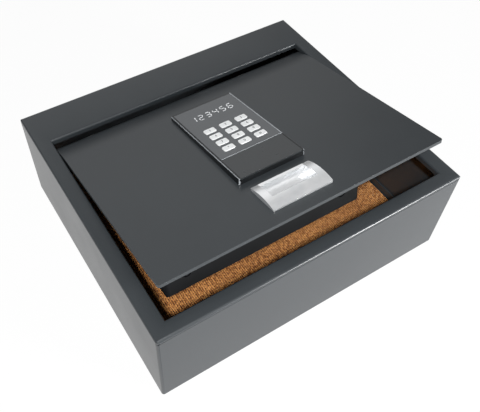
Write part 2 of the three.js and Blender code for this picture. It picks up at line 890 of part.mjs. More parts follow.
// Upright strip that carries both bolts, with a rack arm and an arm for the override cam. It is notched
// where it slides below the pull's cup.
function boltBar() {
  const strip = block(boltXs[0] - barOverhang, boltXs[1] + barOverhang, barFront, barRear, barLow, barTop);
  const notch = block(
    -cupHalf - barToCup, cupHalf + barToCup, barFront - 1, barRear + 1, cupLow - barToCup, barTop + 1,
  );
  const rack = alongZ(rackOutline(), barLow, barLow + rackThickness);
  const armSide = camFingerRadius + armThickness;
  const window = block(
    -camReach - camFingerRadius - seat * 2, camFingerRadius + seat * 2,
    windowFront, windowRear, barLow - 1, barLow + armThickness + 1,
  );
  const arm = block(
    -camReach - armSide - seat * 2, armSide + seat * 2,
    armFront, windowRear + armThickness * 2, barLow, barLow + armThickness,
  );
  const holes = boltXs.map((x) => {
    return rod(boltNeckRadius + seat, axisY, barFront - 1, barRear + 1).translate(x, 0, boltZ);
  });
  return cut(join(strip, rack, arm), notch, window, ...holes);
}

function lockBolt(x) {
  const tip = lockCoverFront + seat;
  const shoulder = barFront - seat;
  const neckEnd = barRear + seat;
  return turned([
    [0, tip],
    [boltRadius - boltChamfer, tip],
    [boltRadius, tip + boltChamfer],
    [boltRadius, shoulder],
    [boltNeckRadius, shoulder],
    [boltNeckRadius, neckEnd],
    [boltNeckRadius * 1.5, neckEnd],
    [boltNeckRadius * 1.5, neckEnd + boltNeck / 3],
    [0, neckEnd + boltNeck / 3],
  ], axisY).translate(x, 0, boltZ);
}

function boltGuide(x) {
  const front = lockCoverFront + coverWall + seat;
  const rear = barFront - boltTravel - guideToBar;
  const half = guideWidth / 2;
  const body = block(x - half, x + half, front, rear, boltZ - guideBelow, lidUnder - seat);
  const bore = rod(boltRadius + seat, axisY, front - 1, rear + 1).translate(x, 0, boltZ);
  return cut(body, bore);
}

// Involute pinion, one tooth pointing at the rack's middle tooth space
function pinionOutline() {
  const base = pitchRadius * Math.cos(pressureAngle);
  const tip = pitchRadius + gearModule;
  const root = pitchRadius - gearModule * 1.25;
  const halfTooth = (Math.PI / 2 - backlash / gearModule / 2) / pinionTeeth;
  const involute = (radius) => {
    const spread = Math.sqrt(Math.max(radius * radius / (base * base) - 1, 0));
    return spread - Math.atan(spread);
  };
  const pitchInvolute = involute(pitchRadius);
  const radii = [root, base, (base + tip) / 2, tip];
  const points = [];
  for (let tooth = 0; tooth < pinionTeeth; tooth += 1) {
    const centre = Math.PI + tooth * 2 * Math.PI / pinionTeeth;
    const flank = radii.map((radius) => ({ radius, half: halfTooth + pitchInvolute - involute(radius) }));
    for (const { radius, half } of flank) {
      points.push(new THREE.Vector2(radius * Math.cos(centre - half), radius * Math.sin(centre - half)));
    }
    for (const { radius, half } of flank.reverse()) {
      points.push(new THREE.Vector2(radius * Math.cos(centre + half), radius * Math.sin(centre + half)));
    }
  }
  return new THREE.Shape(points);
}

function drivePinion() {
  const face = barLow + pinionThickness;
  const gear = alongZ(pinionOutline(), barLow, face);
  const hub = rod(hubRadius, axisZ, face - 1, face + hubHeight);
  const bore = rod(shaftRadius + shaftGap, axisZ, barLow - 1, face + hubHeight + 1);
  return cut(join(gear, hub), bore).translate(pinionX, pinionY, 0);
}

const gearboxTop = lidUnder - seat - motorBracketSheet - seat;
const gearboxLow = gearboxTop - gearboxHeight;

function outputShaft() {
  const flat = shaftRadius - shaftFlat;
  const shaft = rod(shaftRadius, axisZ, barLow - shaftEnd, gearboxLow + gearboxHeight / 2);
  const side = block(flat, shaftRadius + 1, -shaftRadius - 1, shaftRadius + 1, barLow - 1, gearboxLow - 1);
  return cut(shaft, side).translate(pinionX, pinionY, 0);
}

function gearMotor() {
  const half = gearboxWidth / 2;
  const rear = pinionY + gearboxDepth / 2;
  const box = alongZ(
    roundedRectangle(pinionX - half, pinionX + half, rear - gearboxDepth, rear, gearboxCorner),
    gearboxLow, gearboxTop,
  );
  const can = rod(motorRadius, axisY, rear - 1, rear + motorLength, 20);
  const motorEnd = rear + motorLength;
  const boss = rod(motorBossRadius, axisY, motorEnd - 1, motorEnd + motorBoss, 12);
  const socket = rod(shaftRadius + shaftGap, axisZ, gearboxLow - 1, gearboxLow + gearboxHeight / 2 + seat);
  const middle = (gearboxLow + gearboxTop) / 2;
  return cut(
    join(box, can.translate(pinionX, 0, middle), boss.translate(pinionX, 0, middle)),
    socket.translate(pinionX, pinionY, 0),
  );
}

function motorBracket() {
  const top = lidUnder - seat;
  const left = pinionX - gearboxWidth / 2 - seat - motorBracketSheet;
  const angle = foldedSheet(
    [[left + motorBracketWidth, top], [left, top], [left, gearboxLow]],
    motorBracketSheet,
    motorBracketSheet + 0.2,
  );
  return alongY(angle, pinionY - gearboxDepth / 2, pinionY + gearboxDepth / 2);
}

// Electronics and batteries

const trayOuterX = (cellPitch * cellCount) / 2 + trayWall;
const trayOuterY = cellLength / 2 + trayWall * 2;
const trayX = -lockCoverLeft + trayGap + trayOuterX;
const trayY = lidFront + trayInset;
const coverFloor = lidUnder - lockCoverHeight + coverWall;

function batteryDoorOutline(grow) {
  const x = trayOuterX - trayWall + grow;
  const y = trayOuterY - trayWall + grow;
  return roundedRectangle(trayX - x, trayX + x, trayY - y, trayY + y, doorCorner + grow);
}

function batteryDoor() {
  const bottom = coverFloor - coverWall;
  const panel = alongZ(batteryDoorOutline(0), bottom, coverFloor);
  const notch = rod(trayWall * 2, axisZ, bottom - 1, coverFloor + 1);
  return cut(panel, notch.translate(trayX, trayY - trayOuterY + trayWall, 0));
}

function batteryTray() {
  const low = coverFloor + seat;
  const top = low + cellRadius * 2 + seat * 2 + trayWall;
  const outer = block(-trayOuterX, trayOuterX, -trayOuterY, trayOuterY, low, top).translate(trayX, trayY, 0);
  const troughs = cellXs().map((x) => {
    const radius = cellRadius + seat;
    const end = cellLength / 2 + cellEndGap;
    const hollow = rod(radius, axisY, -end, end, 24);
    const mouth = block(-radius, radius, -end, end, -cellRadius * 2, 0);
    return join(hollow, mouth).translate(x, trayY, cellZ);
  });
  return cut(outer, ...troughs);
}

const cellZ = coverFloor + seat * 2 + cellRadius;

function cellXs() {
  return Array.from({ length: cellCount }, (_, i) => trayX + (i - (cellCount - 1) / 2) * cellPitch);
}

function batteryCell(x, side) {
  const end = cellLength / 2;
  const shoulder = end - cellNubHeight;
  const cell = turned([
    [0, -end],
    [cellRadius - cellEase, -end],
    [cellRadius, -end + cellEase],
    [cellRadius, shoulder - cellEase],
    [cellRadius - cellEase, shoulder],
    [cellNub, shoulder],
    [cellNub, end],
    [0, end],
  ], axisY);
  return (side > 0 ? cell : cell.rotateZ(Math.PI)).translate(x, trayY, cellZ);
}

function controlBoard() {
  const top = lidUnder - seat;
  const face = top - standoffHeight;
  const y = lidFront + controlBoardInset;
  const x1 = lockCoverRight - controlBoardGap;
  const x0 = x1 - controlBoardWidth;
  const y0 = y - controlBoardDepth / 2;
  const y1 = y + controlBoardDepth / 2;
  const inset = standoffRadius + boardMargin;
  const legs = [];
  for (const x of [x0 + inset, x1 - inset]) {
    for (const legY of [y0 + inset, y1 - inset]) {
      legs.push(rod(standoffRadius, axisZ, face - 0.1, top, 12).translate(x, legY, 0));
    }
  }
  const low = face - mainBoardThickness;
  const left = x0 + boardPartInset;
  const right = x1 - boardPartInset;
  const front = y0 + boardPartInset;
  const rear = y1 - boardPartInset;
  const relay = block(left, left + relayWidth, front, front + relayDepth, low - relayHeight, low + 0.1);
  const connector = block(
    left, left + connectorWidth, rear - connectorDepth, rear, low - connectorHeight, low + 0.1,
  );
  const chip = block(
    right - chipWidth, right, y - chipDepth / 2, y + chipDepth / 2, low - chipHeight, low + 0.1,
  );
  return join(block(x0, x1, y0, y1, low, face), ...legs, relay, connector, chip);
}

// Keypad, drawn in its own sloping frame: Y runs back from the housing's rear edge and Z is 0 at its top

const railInner = keypadWidth / 2 - keypadRail;
const coverRear = -keypadLength + coverLength;
const grooveLow = -coverThickness - coverFit;
const grooveDepth = tongueDepth + coverFit;
const fasciaUnder = fasciaProud - fasciaThickness;

// The lid's top face as the sloping frame sees it
function belowLid() {
  const reach = keypadLength * 2;
  const ground = block(-keypadWidth, keypadWidth, -reach, reach, -keypadPocket * 4, 0);
  ground.translate(0, 0, -keypadRearHeight + seat);
  return ground.applyMatrix4(new THREE.Matrix4().makeRotationX(keypadSlope));
}

function keypadHousing() {
  const half = keypadWidth / 2;
  const foot = half + keypadDraft * keypadPocket / keypadFrontHeight;
  const section = new THREE.Shape([
    new THREE.Vector2(-foot, -keypadPocket),
    new THREE.Vector2(foot, -keypadPocket),
    new THREE.Vector2(half, -keypadChamfer),
    new THREE.Vector2(half - keypadChamfer, 0),
    new THREE.Vector2(-half + keypadChamfer, 0),
    new THREE.Vector2(-half, -keypadChamfer),
  ]);
  const plan = roundedRectangle(-foot, foot, -keypadLength, 0, keypadCorner + foot - half);
  const body = common(alongY(section, -keypadLength, 0), alongZ(plan, -keypadPocket, 1));
  const fasciaSeat = block(-railInner, railInner, coverRear, -keypadRail, fasciaUnder - seat, 1);
  const keyPocket = block(
    -railInner + keypadLedge, railInner - keypadLedge,
    coverRear + crossBar / 2, -keypadRail - keypadLedge, -keypadPocket - 1, 0,
  );
  const coverSlot = block(-railInner, railInner, -keypadLength - 1, coverRear + 0.5, grooveLow, 1);
  const grooves = block(
    -railInner - grooveDepth, railInner + grooveDepth,
    -keypadLength - 1, coverRear + 0.5, grooveLow, grooveLow + tongueThickness + coverFit * 2,
  );
  const bay = block(
    -railInner + keypadLedge, railInner - keypadLedge,
    -keypadLength + keypadRail, coverRear - crossBar / 2, -keypadPocket - 1, 0,
  );
  return cut(body, fasciaSeat, keyPocket, coverSlot, grooves, bay, belowLid());
}

function keyPlaces() {
  const places = [];
  for (let row = 0; row < keyRows; row += 1) {
    for (let column = 0; column < keyColumns; column += 1) {
      const x = (column - (keyColumns - 1) / 2) * keyPitchX;
      places.push({ x, y: -firstRow - row * keyPitchY });
    }
  }
  return places;
}

function keypadFascia() {
  const x = railInner - seat;
  const outline = roundedRectangle(-x, x, coverRear + seat / 2, -keypadRail - seat, fasciaCorner);
  for (const place of keyPlaces()) {
    const window = roundedRectangle(
      place.x - keyWidth / 2 - keyFit, place.x + keyWidth / 2 + keyFit,
      place.y - keyHeight / 2 - keyFit, place.y + keyHeight / 2 + keyFit,
      keyCorner + keyFit,
    );
    outline.holes.push(new THREE.Path(openLoop(window, 2)));
  }
  return alongZ(outline, fasciaUnder, fasciaProud, 2);
}

const keyFlangeTop = fasciaUnder - keyFit;
const keyTop = fasciaProud + keyProud;

// A cap with an eased top edge over a flange that the fascia holds in
function key(place) {
  const outline = (inset) => openLoop(roundedRectangle(
    place.x - keyWidth / 2 + inset, place.x + keyWidth / 2 - inset,
    place.y - keyHeight / 2 + inset, place.y + keyHeight / 2 - inset,
    keyCorner - inset,
  ), 3);
  const cap = stack([
    { points: outline(0), z: keyFlangeTop - keyFlange / 2 },
    { points: outline(0), z: keyTop - keyEase },
    { points: outline(keyEase), z: keyTop },
  ]);
  const flange = block(
    place.x - keyWidth / 2 - keyFlange, place.x + keyWidth / 2 + keyFlange,
    place.y - keyHeight / 2 - keyFlange, place.y + keyHeight / 2 + keyFlange,
    keyFlangeTop - keyFlange, keyFlangeTop,
  );
  return join(cap, flange);
}

// Board with a low switch under each key
function keypadBoard() {
  const half = railInner - keypadLedge - seat;
  const switchTop = keyFlangeTop - keyFlange - keyTravel - seat / 3;
  const face = switchTop - switchHeight;
  const rear = -firstRow + keyHeight;
  const front = -firstRow - (keyRows - 1) * keyPitchY - keyHeight;
  const board = block(-half, half, front, rear, face - boardThickness, face);
  const switches = keyPlaces().map(({ x, y }) => {
    return rod(switchRadius, axisZ, face - 0.1, switchTop, 8).translate(x, y, 0);
  });
  return join(board, ...switches);
}

function overrideCover() {
  const half = railInner - coverFit;
  const panel = block(-half, half, -keypadLength, coverRear - coverFit / 2, -coverThickness, 0);
  const tongues = block(
    -half - tongueDepth, half + tongueDepth,
    -keypadLength + keypadRail, coverRear - coverFit, -coverThickness, -coverThickness + tongueThickness,
  );
  return join(panel, tongues);
}

// Display module, lying flat on the lid under the fascia
function displayModule() {
  const y = keypadRearY - displayRow;
  return alongZ(
    roundedRectangle(-displayWidth / 2, displayWidth / 2, y - displayDepth / 2, y + displayDepth / 2, 1),
    lidTop + seat, lidTop + seat + displayHeight,
  );
}

// Override lock

const barrelLow = lidTop - barrelDrop;
const barrelTop = lidTop + seat + barrelHeadHeight;

function lockBarrel() {
  const body = turned([
    [0, barrelLow],
    [barrelRadius, barrelLow],
    [barrelRadius, lidTop + seat],
    [barrelHeadRadius, lidTop + seat],
    [barrelHeadRadius, barrelTop - barrelEase],
    [barrelHeadRadius - barrelEase, barrelTop],
    [0, barrelTop],
  ], axisZ, 24);
  const bore = rod(plugRadius + plugGap, axisZ, barrelLow - 1, barrelTop + 1, 24);
  return cut(body, bore).translate(0, lockY, 0);
}

function lockPlug() {
  const low = barrelLow - camThickness - seat * 2;
  const body = rod(plugRadius, axisZ, low, barrelTop, 24);
  const slot = block(
    -keyway / 2, keyway / 2, -keywayWidth / 2, keywayWidth / 2, barrelTop - keywayDepth, barrelTop + 1,
  );
  return cut(body, slot).translate(0, lockY, 0);
}

// Cam on the plug's lower end, with a finger that draws the bolt bar back
function lockCam() {
  const top = barrelLow - seat;
  const low = top - camThickness;
  const bore = rod(plugRadius + plugGap / 2, axisZ, low - 1, top + 1, 24);
  const hub = rod(camHubRadius, axisZ, low, top, 24);
  const blade = block(-camFingerRadius, camFingerRadius, -camReach, 0, low, top);
  const finger = rod(camFingerRadius, axisZ, barLow + seat, top).translate(0, -camReach, 0);
  return cut(join(hub, blade, finger), bore).translate(0, lockY, 0);
}

// Stud for an outside battery, let into the bay beside the lock
function powerContact(x) {
  const top = lidTop + barrelHeadHeight;
  return turned([
    [0, lidUnder - 2],
    [contactShank, lidUnder - 2],
    [contactShank, lidTop + seat],
    [contactRadius, lidTop + seat],
    [contactRadius, top - 1],
    [contactRadius * 0.6, top],
    [0, top],
  ], axisZ, 16).translate(x, lockY, 0);
}

// Assembly

const safe = new THREE.Group();
safe.add(
  piece('body_wrap', bodyWrap(), casePaint),
  piece('front_panel', endPanel(-1), casePaint),
  piece('rear_panel', rearPanel(), casePaint),
  piece('base_plate', basePlate(), casePaint),
  piece('floor_mat', floorMat(), matFabric),
  piece('keeper_rail', keeperRail(), coverPaint),
);

const hingeParts = [
  ['hinge_bracket', hingeBracket(), coverPaint],
  ['hinge_pin', hingePin(), zincSteel],
  ['friction_washer', frictionWasher(), nylon],
  ['spring_washer', springWasher(), zincSteel],
  ['hinge_nut', hingeNut(), zincSteel],
];
for (const [name, geometry, material] of hingeParts) {
  safe.add(piece(`${name}_right`, geometry, material));
  safe.add(piece(`${name}_left`, mirrored(geometry), material));
}

// The lid's pieces are drawn closed and turned together about the hinge line
const lidPivot = new THREE.Group();
lidPivot.position.set(0, hingeY, hingeZ);
lidPivot.rotation.x = -lidAngle;
const lid = new THREE.Group();
lid.position.set(0, -hingeY, -hingeZ);
lidPivot.add(lid);
safe.add(lidPivot);

lid.add(
  piece('lid_plate', lidPlate(), lidPaint),
  piece('hinge_ear_right', hingeEar(), coverPaint),
  piece('hinge_ear_left', mirrored(hingeEar()), coverPaint),
  piece('finger_pull', fingerPull(), chrome),
  piece('lock_cover', lockCover(), coverPaint),
  piece('bolt_bar', boltBar(), zincSteel),
  piece('drive_pinion', drivePinion(), brass),
  piece('output_shaft', outputShaft(), zincSteel),
  piece('gear_motor', gearMotor(), zincSteel),
  piece('motor_bracket', motorBracket(), zincSteel),
  piece('control_board', controlBoard(), boardGreen),
  piece('battery_tray', batteryTray(), blackPlastic),
  piece('battery_door', batteryDoor(), coverPaint),
  piece('display_module', displayModule(), blackPlastic),
  piece('lock_barrel', lockBarrel(), chrome),
  piece('lock_plug', lockPlug(), brass),
  piece('lock_cam', lockCam(), zincSteel),
);

const sides = ['left', 'right'];
boltXs.forEach((x, i) => {
  lid.add(piece(`lock_bolt_${sides[i]}`, lockBolt(x), chrome));
  lid.add(piece(`bolt_guide_${sides[i]}`, boltGuide(x), nylon));
});
contactXs.forEach((x, i) => lid.add(piece(`power_contact_${sides[i]}`, powerContact(x), brass)));
cellXs().forEach((x, i) => lid.add(piece(`battery_cell_${i + 1}`, batteryCell(x, i % 2 ? -1 : 1), cellWrap)));

const slope = new THREE.Group();
slope.position.set(0, keypadRearY, lidTop + keypadRearHeight);
slope.rotation.x = -keypadSlope;
lid.add(slope);

slope.add(
  piece('keypad_housing', keypadHousing(), blackPlastic),
  piece('keypad_fascia', keypadFascia(), fasciaPlastic),
  piece('keypad_board', keypadBoard(), boardGreen),
  piece('override_cover', overrideCover(), fasciaPlastic),
);

const keyNames = ['1', '2', '3', '4', '5', '6', '7', '8', '9', 'star', '0', 'hash'];
keyPlaces().forEach((place, i) => slope.add(piece(`key_${keyNames[i]}`, key(place), keyPlastic)));

export default safe;
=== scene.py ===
"""Finishes a top-loading safe in coated steel, chrome plate, moulded plastic and ribbed carpet."""

import json
import math

import bmesh
import bpy
from mathutils import Matrix, Vector

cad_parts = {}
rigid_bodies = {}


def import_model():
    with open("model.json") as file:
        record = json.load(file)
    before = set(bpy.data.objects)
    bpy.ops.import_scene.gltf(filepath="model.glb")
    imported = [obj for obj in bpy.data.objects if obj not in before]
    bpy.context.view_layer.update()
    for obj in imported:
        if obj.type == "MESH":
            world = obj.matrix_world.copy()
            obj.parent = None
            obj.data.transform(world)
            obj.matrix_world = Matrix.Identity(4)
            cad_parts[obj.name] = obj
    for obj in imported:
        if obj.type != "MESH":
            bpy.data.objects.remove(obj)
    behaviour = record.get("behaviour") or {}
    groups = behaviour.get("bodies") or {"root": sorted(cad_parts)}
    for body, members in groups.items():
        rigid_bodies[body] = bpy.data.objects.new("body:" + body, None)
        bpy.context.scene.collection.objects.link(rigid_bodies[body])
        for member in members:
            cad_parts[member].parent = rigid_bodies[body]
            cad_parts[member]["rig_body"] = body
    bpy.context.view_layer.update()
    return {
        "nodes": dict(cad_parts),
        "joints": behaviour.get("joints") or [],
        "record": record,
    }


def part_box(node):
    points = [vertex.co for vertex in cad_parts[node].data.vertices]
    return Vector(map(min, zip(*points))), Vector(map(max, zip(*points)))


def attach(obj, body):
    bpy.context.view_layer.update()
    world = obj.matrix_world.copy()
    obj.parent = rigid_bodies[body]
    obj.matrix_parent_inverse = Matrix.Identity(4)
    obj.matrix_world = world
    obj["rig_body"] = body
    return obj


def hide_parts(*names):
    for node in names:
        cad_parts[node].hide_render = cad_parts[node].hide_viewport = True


MM = 0.001

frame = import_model()
joints = {joint["name"]: joint for joint in frame["joints"]}

# Camera, as fitted to the corners of the case
CAMERA_TARGET = (-0.0372, -0.0139, 0.0635)
CAMERA_AZIMUTH = -32.88
CAMERA_ELEVATION = 51.58
CAMERA_ROLL = 1.31
CAMERA_DISTANCE = 0.7691
CAMERA_LENS = 46.57
CAMERA_SENSOR = 36.0
CAMERA_SHIFT = (0.0575, -0.0119)

# Lamps: name, place in metres, aim, size in metres, power in watts
KEY_LAMP = ("key_lamp", (-0.6, -0.86, 1.5), (0, 0, 0.1), 0.12, 32.0)
FILL_LAMP = ("fill_lamp", (0.9, -1.6, 0.35), (0, 0, 0.05), 0.5, 36.0)
SKY_LEVEL = 0.12

# The studio as the glossy faces see it: white at a strength of 1, dimmer overhead,
# with a dark corner at the rear right, a dark wall at the rear left and a dark foot
DARK_SIDE = (0.75, 0.45, 0.48)
DARK_FROM = 0.905
DARK_TO = 1.0
DARK_LEVEL = 0.1
DARK_WALL = (-0.83, 0.52, 0.2)
WALL_FROM = 0.78
WALL_TO = 0.93
FOOT_FROM = 0.12
FOOT_TO = 0.36
OVERHEAD_FROM = 0.6
OVERHEAD_TO = 0.8
OVERHEAD_LEVEL = 0.35
FLOOR_HALF = 4.0
FLOOR_WHITE_SHARE = 0.94

# Distances within which points are one, or lie on the same face
WELD = 0.002 * MM
ON_PLANE = 0.001 * MM
NEAR = 0.05 * MM

# Sizes of the details, in metres. RIB_COLUMNS and RIB_ROWS are grid points to a pitch.
SHEET_EDGE = 0.5 * MM
CUT_EDGE = 0.15 * MM
LID_EDGE = 0.7 * MM
PULL_EDGE = 0.35 * MM
MOULDED_EDGE = 0.3 * MM
KEY_EDGE = 0.4 * MM
SMALL_EDGE = 0.2 * MM
BOARD_EDGE = 0.05 * MM
FASCIA_CHAMFER = 0.45 * MM
RAIL_WIDTH = 2.4 * MM
LIP_FOLD = 1.1 * MM
BORDER_CLEAR = 8 * MM
REAR_FALL = 3.8 * MM
REAR_FALL_LENGTH = 30 * MM
REAR_FALL_STEPS = 8
FOLD_ANGLE = math.radians(28)
FLAT_ANGLE = math.radians(0.5)
RIB_PITCH = 2.7 * MM
RIB_HEIGHT = 0.9 * MM
RIB_COLUMNS = 6.0
RIB_ROWS = 0.8
TUFT_SIZE = 4 * MM
TUFT_SWELL = (0.6, 1.3)
SCREW_COUNT = 3
SCREW_SIDES = 20
SCREW_RADIUS = 2.6 * MM
SCREW_HEIGHT = 1.8 * MM
SCREW_FROM_EDGE = 4 * MM
SCREW_FROM_END = 22 * MM
# Rings of a screw head from its seat up, then down into the socket, each as
# (rise as a share of the height, shrink)
SCREW_RINGS = ((0.5, 1.0), (0.35, 0.86), (0.15, 0.78), (0.0, 0.62), (-0.55, 0.92))
INK = 0.06 * MM
LEGEND_SIZE = 5.13 * MM
DIGIT_HEIGHT = 9.8 * MM
DIGIT_WIDTH = 5.6 * MM
DIGIT_PITCH = 10.2 * MM
DIGIT_STROKE = 1.35 * MM
DIGIT_SLANT = 0.1
SEGMENT_SHORTER = 0.35
DISPLAY_FROM_REAR = 23.5 * MM


# The lid and the keypad lie at a slope, and the joints say at which


def slope_frame(origin, tilt):
    """The matrix from a level frame to one whose -Y end is raised by tilt about a line along X."""
    place = Matrix.Translation(Vector(origin))
    return place @ Matrix.Rotation(-tilt, 4, "X")


def slide_tilt(joint):
    x, y, z = joint["axis"]
    return math.atan2(z, -y)


LID_TILT = slide_tilt(joints["bolt_slide"])
KEYPAD_TILT = slide_tilt(joints["override_cover_slide"])


def span(node, matrix):
    """Lowest and highest corner of a CAD node in a sloping frame."""
    inverse = matrix.inverted()
    points = [inverse @ vertex.co for vertex in frame["nodes"][node].data.vertices]
    low = Vector([min(point[i] for point in points) for i in range(3)])
    high = Vector([max(point[i] for point in points) for i in range(3)])
    return low, high


# Shader building


def linear(code):
    """sRGB hex to linear RGBA."""
    channels = [int(code[i : i + 2], 16) / 255 for i in (1, 3, 5)]
    return [c / 12.92 if c <= 0.04045 else ((c + 0.055) / 1.055) ** 2.4 for c in channels] + [1.0]


def add(tree, kind, settings=None, links=None):
    """Adds a node. Settings name sockets or attributes, links are (input, from node, output)."""
    node = tree.nodes.new(kind)
    for name, value in (settings or {}).items():
        if isinstance(name, int) or name in node.inputs:
            node.inputs[name].default_value = value
        else:
            setattr(node, name, value)
    for name, source, output in links or []:
        tree.links.new(source.outputs[output], node.inputs[name])
    return node


def new_material(name):
    material = bpy.data.materials.new(name)
    material.use_nodes = True
    material.node_tree.nodes.clear()
    return material, material.node_tree


def multiply(tree, first, second):
    """A product of two outputs, each given as (node, output)."""
    return add(tree, "ShaderNodeMath", {"operation": "MULTIPLY"}, [(0, *first), (1, *second)])


def close_material(tree, shader):
    add(tree, "ShaderNodeOutputMaterial", links=[("Surface", shader, "BSDF")])


def blotches(tree, coordinates, size, detail=3.0):
    """Noise whose features are about size metres across."""
    return add(
        tree,
        "ShaderNodeTexNoise",
        {"Scale": 1 / size, "Detail": detail, "Roughness": 0.55},
        [("Vector", coordinates, "Object")],
    )


def two_tone(tree, factor, output, dark, light):
    ramp = add(tree, "ShaderNodeValToRGB", links=[("Fac", factor, output)])
    ramp.color_ramp.elements[0].color = linear(dark)
    ramp.color_ramp.elements[1].color = linear(light)
    ramp.color_ramp.elements[0].position = 0.35
    ramp.color_ramp.elements[1].position = 0.65
    return ramp


def between(tree, source, output, low, high):
    return add(
        tree,
        "ShaderNodeMapRange",
        {"From Min": 0.3, "From Max": 0.7, "To Min": low, "To Max": high},
        [("Value", source, output)],
    )


def bumps(tree, strength, distance, height):
    return add(
        tree,
        "ShaderNodeBump",
        {"Strength": strength, "Distance": distance},
        [("Height", height, "Fac")],
    )


def surface(name, dark, light, patch, roughness, grain, bump, metallic=0.0, ior=1.5, extra=None):
    """A finish with patches of two near colours, uneven gloss and a fine grain in the surface."""
    material, tree = new_material(name)
    coordinates = add(tree, "ShaderNodeTexCoord")
    patches = blotches(tree, coordinates, patch)
    fine = blotches(tree, coordinates, grain, 2.0)
    colour = two_tone(tree, patches, "Fac", dark, light)
    gloss = between(tree, patches, "Fac", roughness[0], roughness[1])
    relief = bumps(tree, bump, grain / 4, fine)
    settings = {"Metallic": metallic, "IOR": ior}
    settings.update(extra or {})
    shader = add(
        tree,
        "ShaderNodeBsdfPrincipled",
        settings,
        [
            ("Base Color", colour, "Color"),
            ("Roughness", gloss, "Result"),
            ("Normal", relief, "Normal"),
        ],
    )
    close_material(tree, shader)
    return material


def powder_coat_charcoal():
    # Sprayed polyester powder, baked: an even satin film with a faint orange peel, drawn at 1.2 mm
    return surface(
        "powder_coat_charcoal", "#313538", "#34383b", 60 * MM, (0.31, 0.35), 1.2 * MM, 0.1
    )


def powder_coat_black():
    # The same film in black, duller, on the lock cover and the hidden steel
    return surface(
        "powder_coat_black", "#08090a", "#0b0c0e", 40 * MM, (0.5, 0.6), 1.0 * MM, 0.15, 0.0, 1.5,
        {"Specular IOR Level": 0.15},
    )


def satin_chrome():
    # Satin nickel-chrome plate on a die casting: its fine blasted ground is drawn as part diffuse
    return surface(
        "chrome_plate_satin", "#eceef0", "#f6f7f8", 12 * MM, (0.22, 0.27), 2.0 * MM, 0.02, 0.7
    )


def zinc_plate():
    # Bright zinc on pressed and turned steel: soft mirror with a cool bloom
    return surface(
        "zinc_plate_on_steel", "#a9adb2", "#c2c5c8", 9 * MM, (0.28, 0.42), 0.8 * MM, 0.08, 1.0
    )


def black_oxide():
    # Hot black oxide on turned bolts: a thin dark film over bare steel
    return surface(
        "black_oxide_on_steel", "#26282a", "#303235", 8 * MM, (0.35, 0.45), 0.6 * MM, 0.06, 0.6
    )


def machined_brass():
    # Bar brass, turned: warm, with tool haze
    return surface("brass_turned", "#b18d4a", "#cfae6c", 6 * MM, (0.22, 0.34), 0.6 * MM, 0.08, 1.0)


def moulded_abs():
    # Injection-moulded ABS with a fine spark-eroded texture, drawn at 0.5 mm
    return surface(
        "abs_moulded_graphite", "#17191b", "#1b1d1f", 25 * MM, (0.3, 0.38), 0.5 * MM, 0.15, 0.0, 1.54
    )


def gloss_fascia():
    # Polycarbonate panel, smooth, tinted grey, with faint waviness
    return surface(
        "polycarbonate_fascia_grey", "#505356", "#54575a", 40 * MM, (0.2, 0.26), 14 * MM, 0.02, 0.0, 1.58
    )


def cover_plastic():
    # The sliding cover: the same moulding as the rails, with a smooth face
    return surface(
        "abs_moulded_cover", "#303335", "#343739", 30 * MM, (0.26, 0.32), 8 * MM, 0.02, 0.0, 1.54
    )


def painted_highlight_plastic():
    # Painted highlight: a pale plastic on the panel's cut slopes, the rails' upper slopes, the right
    # rail's top and the rails' front corners, standing in for the light these edges catch
    return surface(
        "plastic_edge_painted_highlight", "#8f9397", "#a0a4a8", 6 * MM, (0.18, 0.26), 1.0 * MM, 0.02, 0.0, 1.58
    )


def key_plastic():
    # Moulded ABS keys, white with a satin face
    return surface(
        "abs_key_white", "#f1f2f3", "#f7f8f8", 5 * MM, (0.4, 0.5), 0.6 * MM, 0.05, 0.0, 1.54
    )


def natural_nylon():
    # Unpigmented nylon: off-white and slightly waxy
    return surface(
        "nylon_natural", "#d2cdbd", "#ded9ca", 8 * MM, (0.42, 0.5), 0.7 * MM, 0.05, 0.0, 1.53,
        {"Subsurface Weight": 0.15, "Subsurface Scale": 1.5 * MM},
    )


def shrink_sleeve():
    # Heat-shrunk PVC round the cells: smooth and slightly rippled
    return surface(
        "pvc_shrink_sleeve_blue", "#2f3b66", "#37457a", 10 * MM, (0.2, 0.3), 3 * MM, 0.1, 0.0, 1.53
    )


def solder_mask():
    # Epoxy solder mask over copper tracks: the tracks show as a paler, raised grid
    material, tree = new_material("solder_mask_green")
    coordinates = add(tree, "ShaderNodeTexCoord")
    tracks = add(
        tree,
        "ShaderNodeTexBrick",
        {
            "Scale": 1 / (8 * MM),
            "Mortar Size": 0.06,
            "Color1": linear("#14452b"),
            "Color2": linear("#174c30"),
            "Mortar": linear("#2c6b45"),
        },
        [("Vector", coordinates, "Object")],
    )
    relief = bumps(tree, 0.3, 0.05 * MM, tracks)
    shader = add(
        tree,
        "ShaderNodeBsdfPrincipled",
        {"Roughness": 0.28, "IOR": 1.55},
        [("Base Color", tracks, "Color"), ("Normal", relief, "Normal")],
    )
    close_material(tree, shader)
    return material


def screen_ink(name, code):
    # Screen-printed ink: matt, with slightly uneven cover
    return surface(name, code, code, 2 * MM, (0.55, 0.65), 0.4 * MM, 0.05)


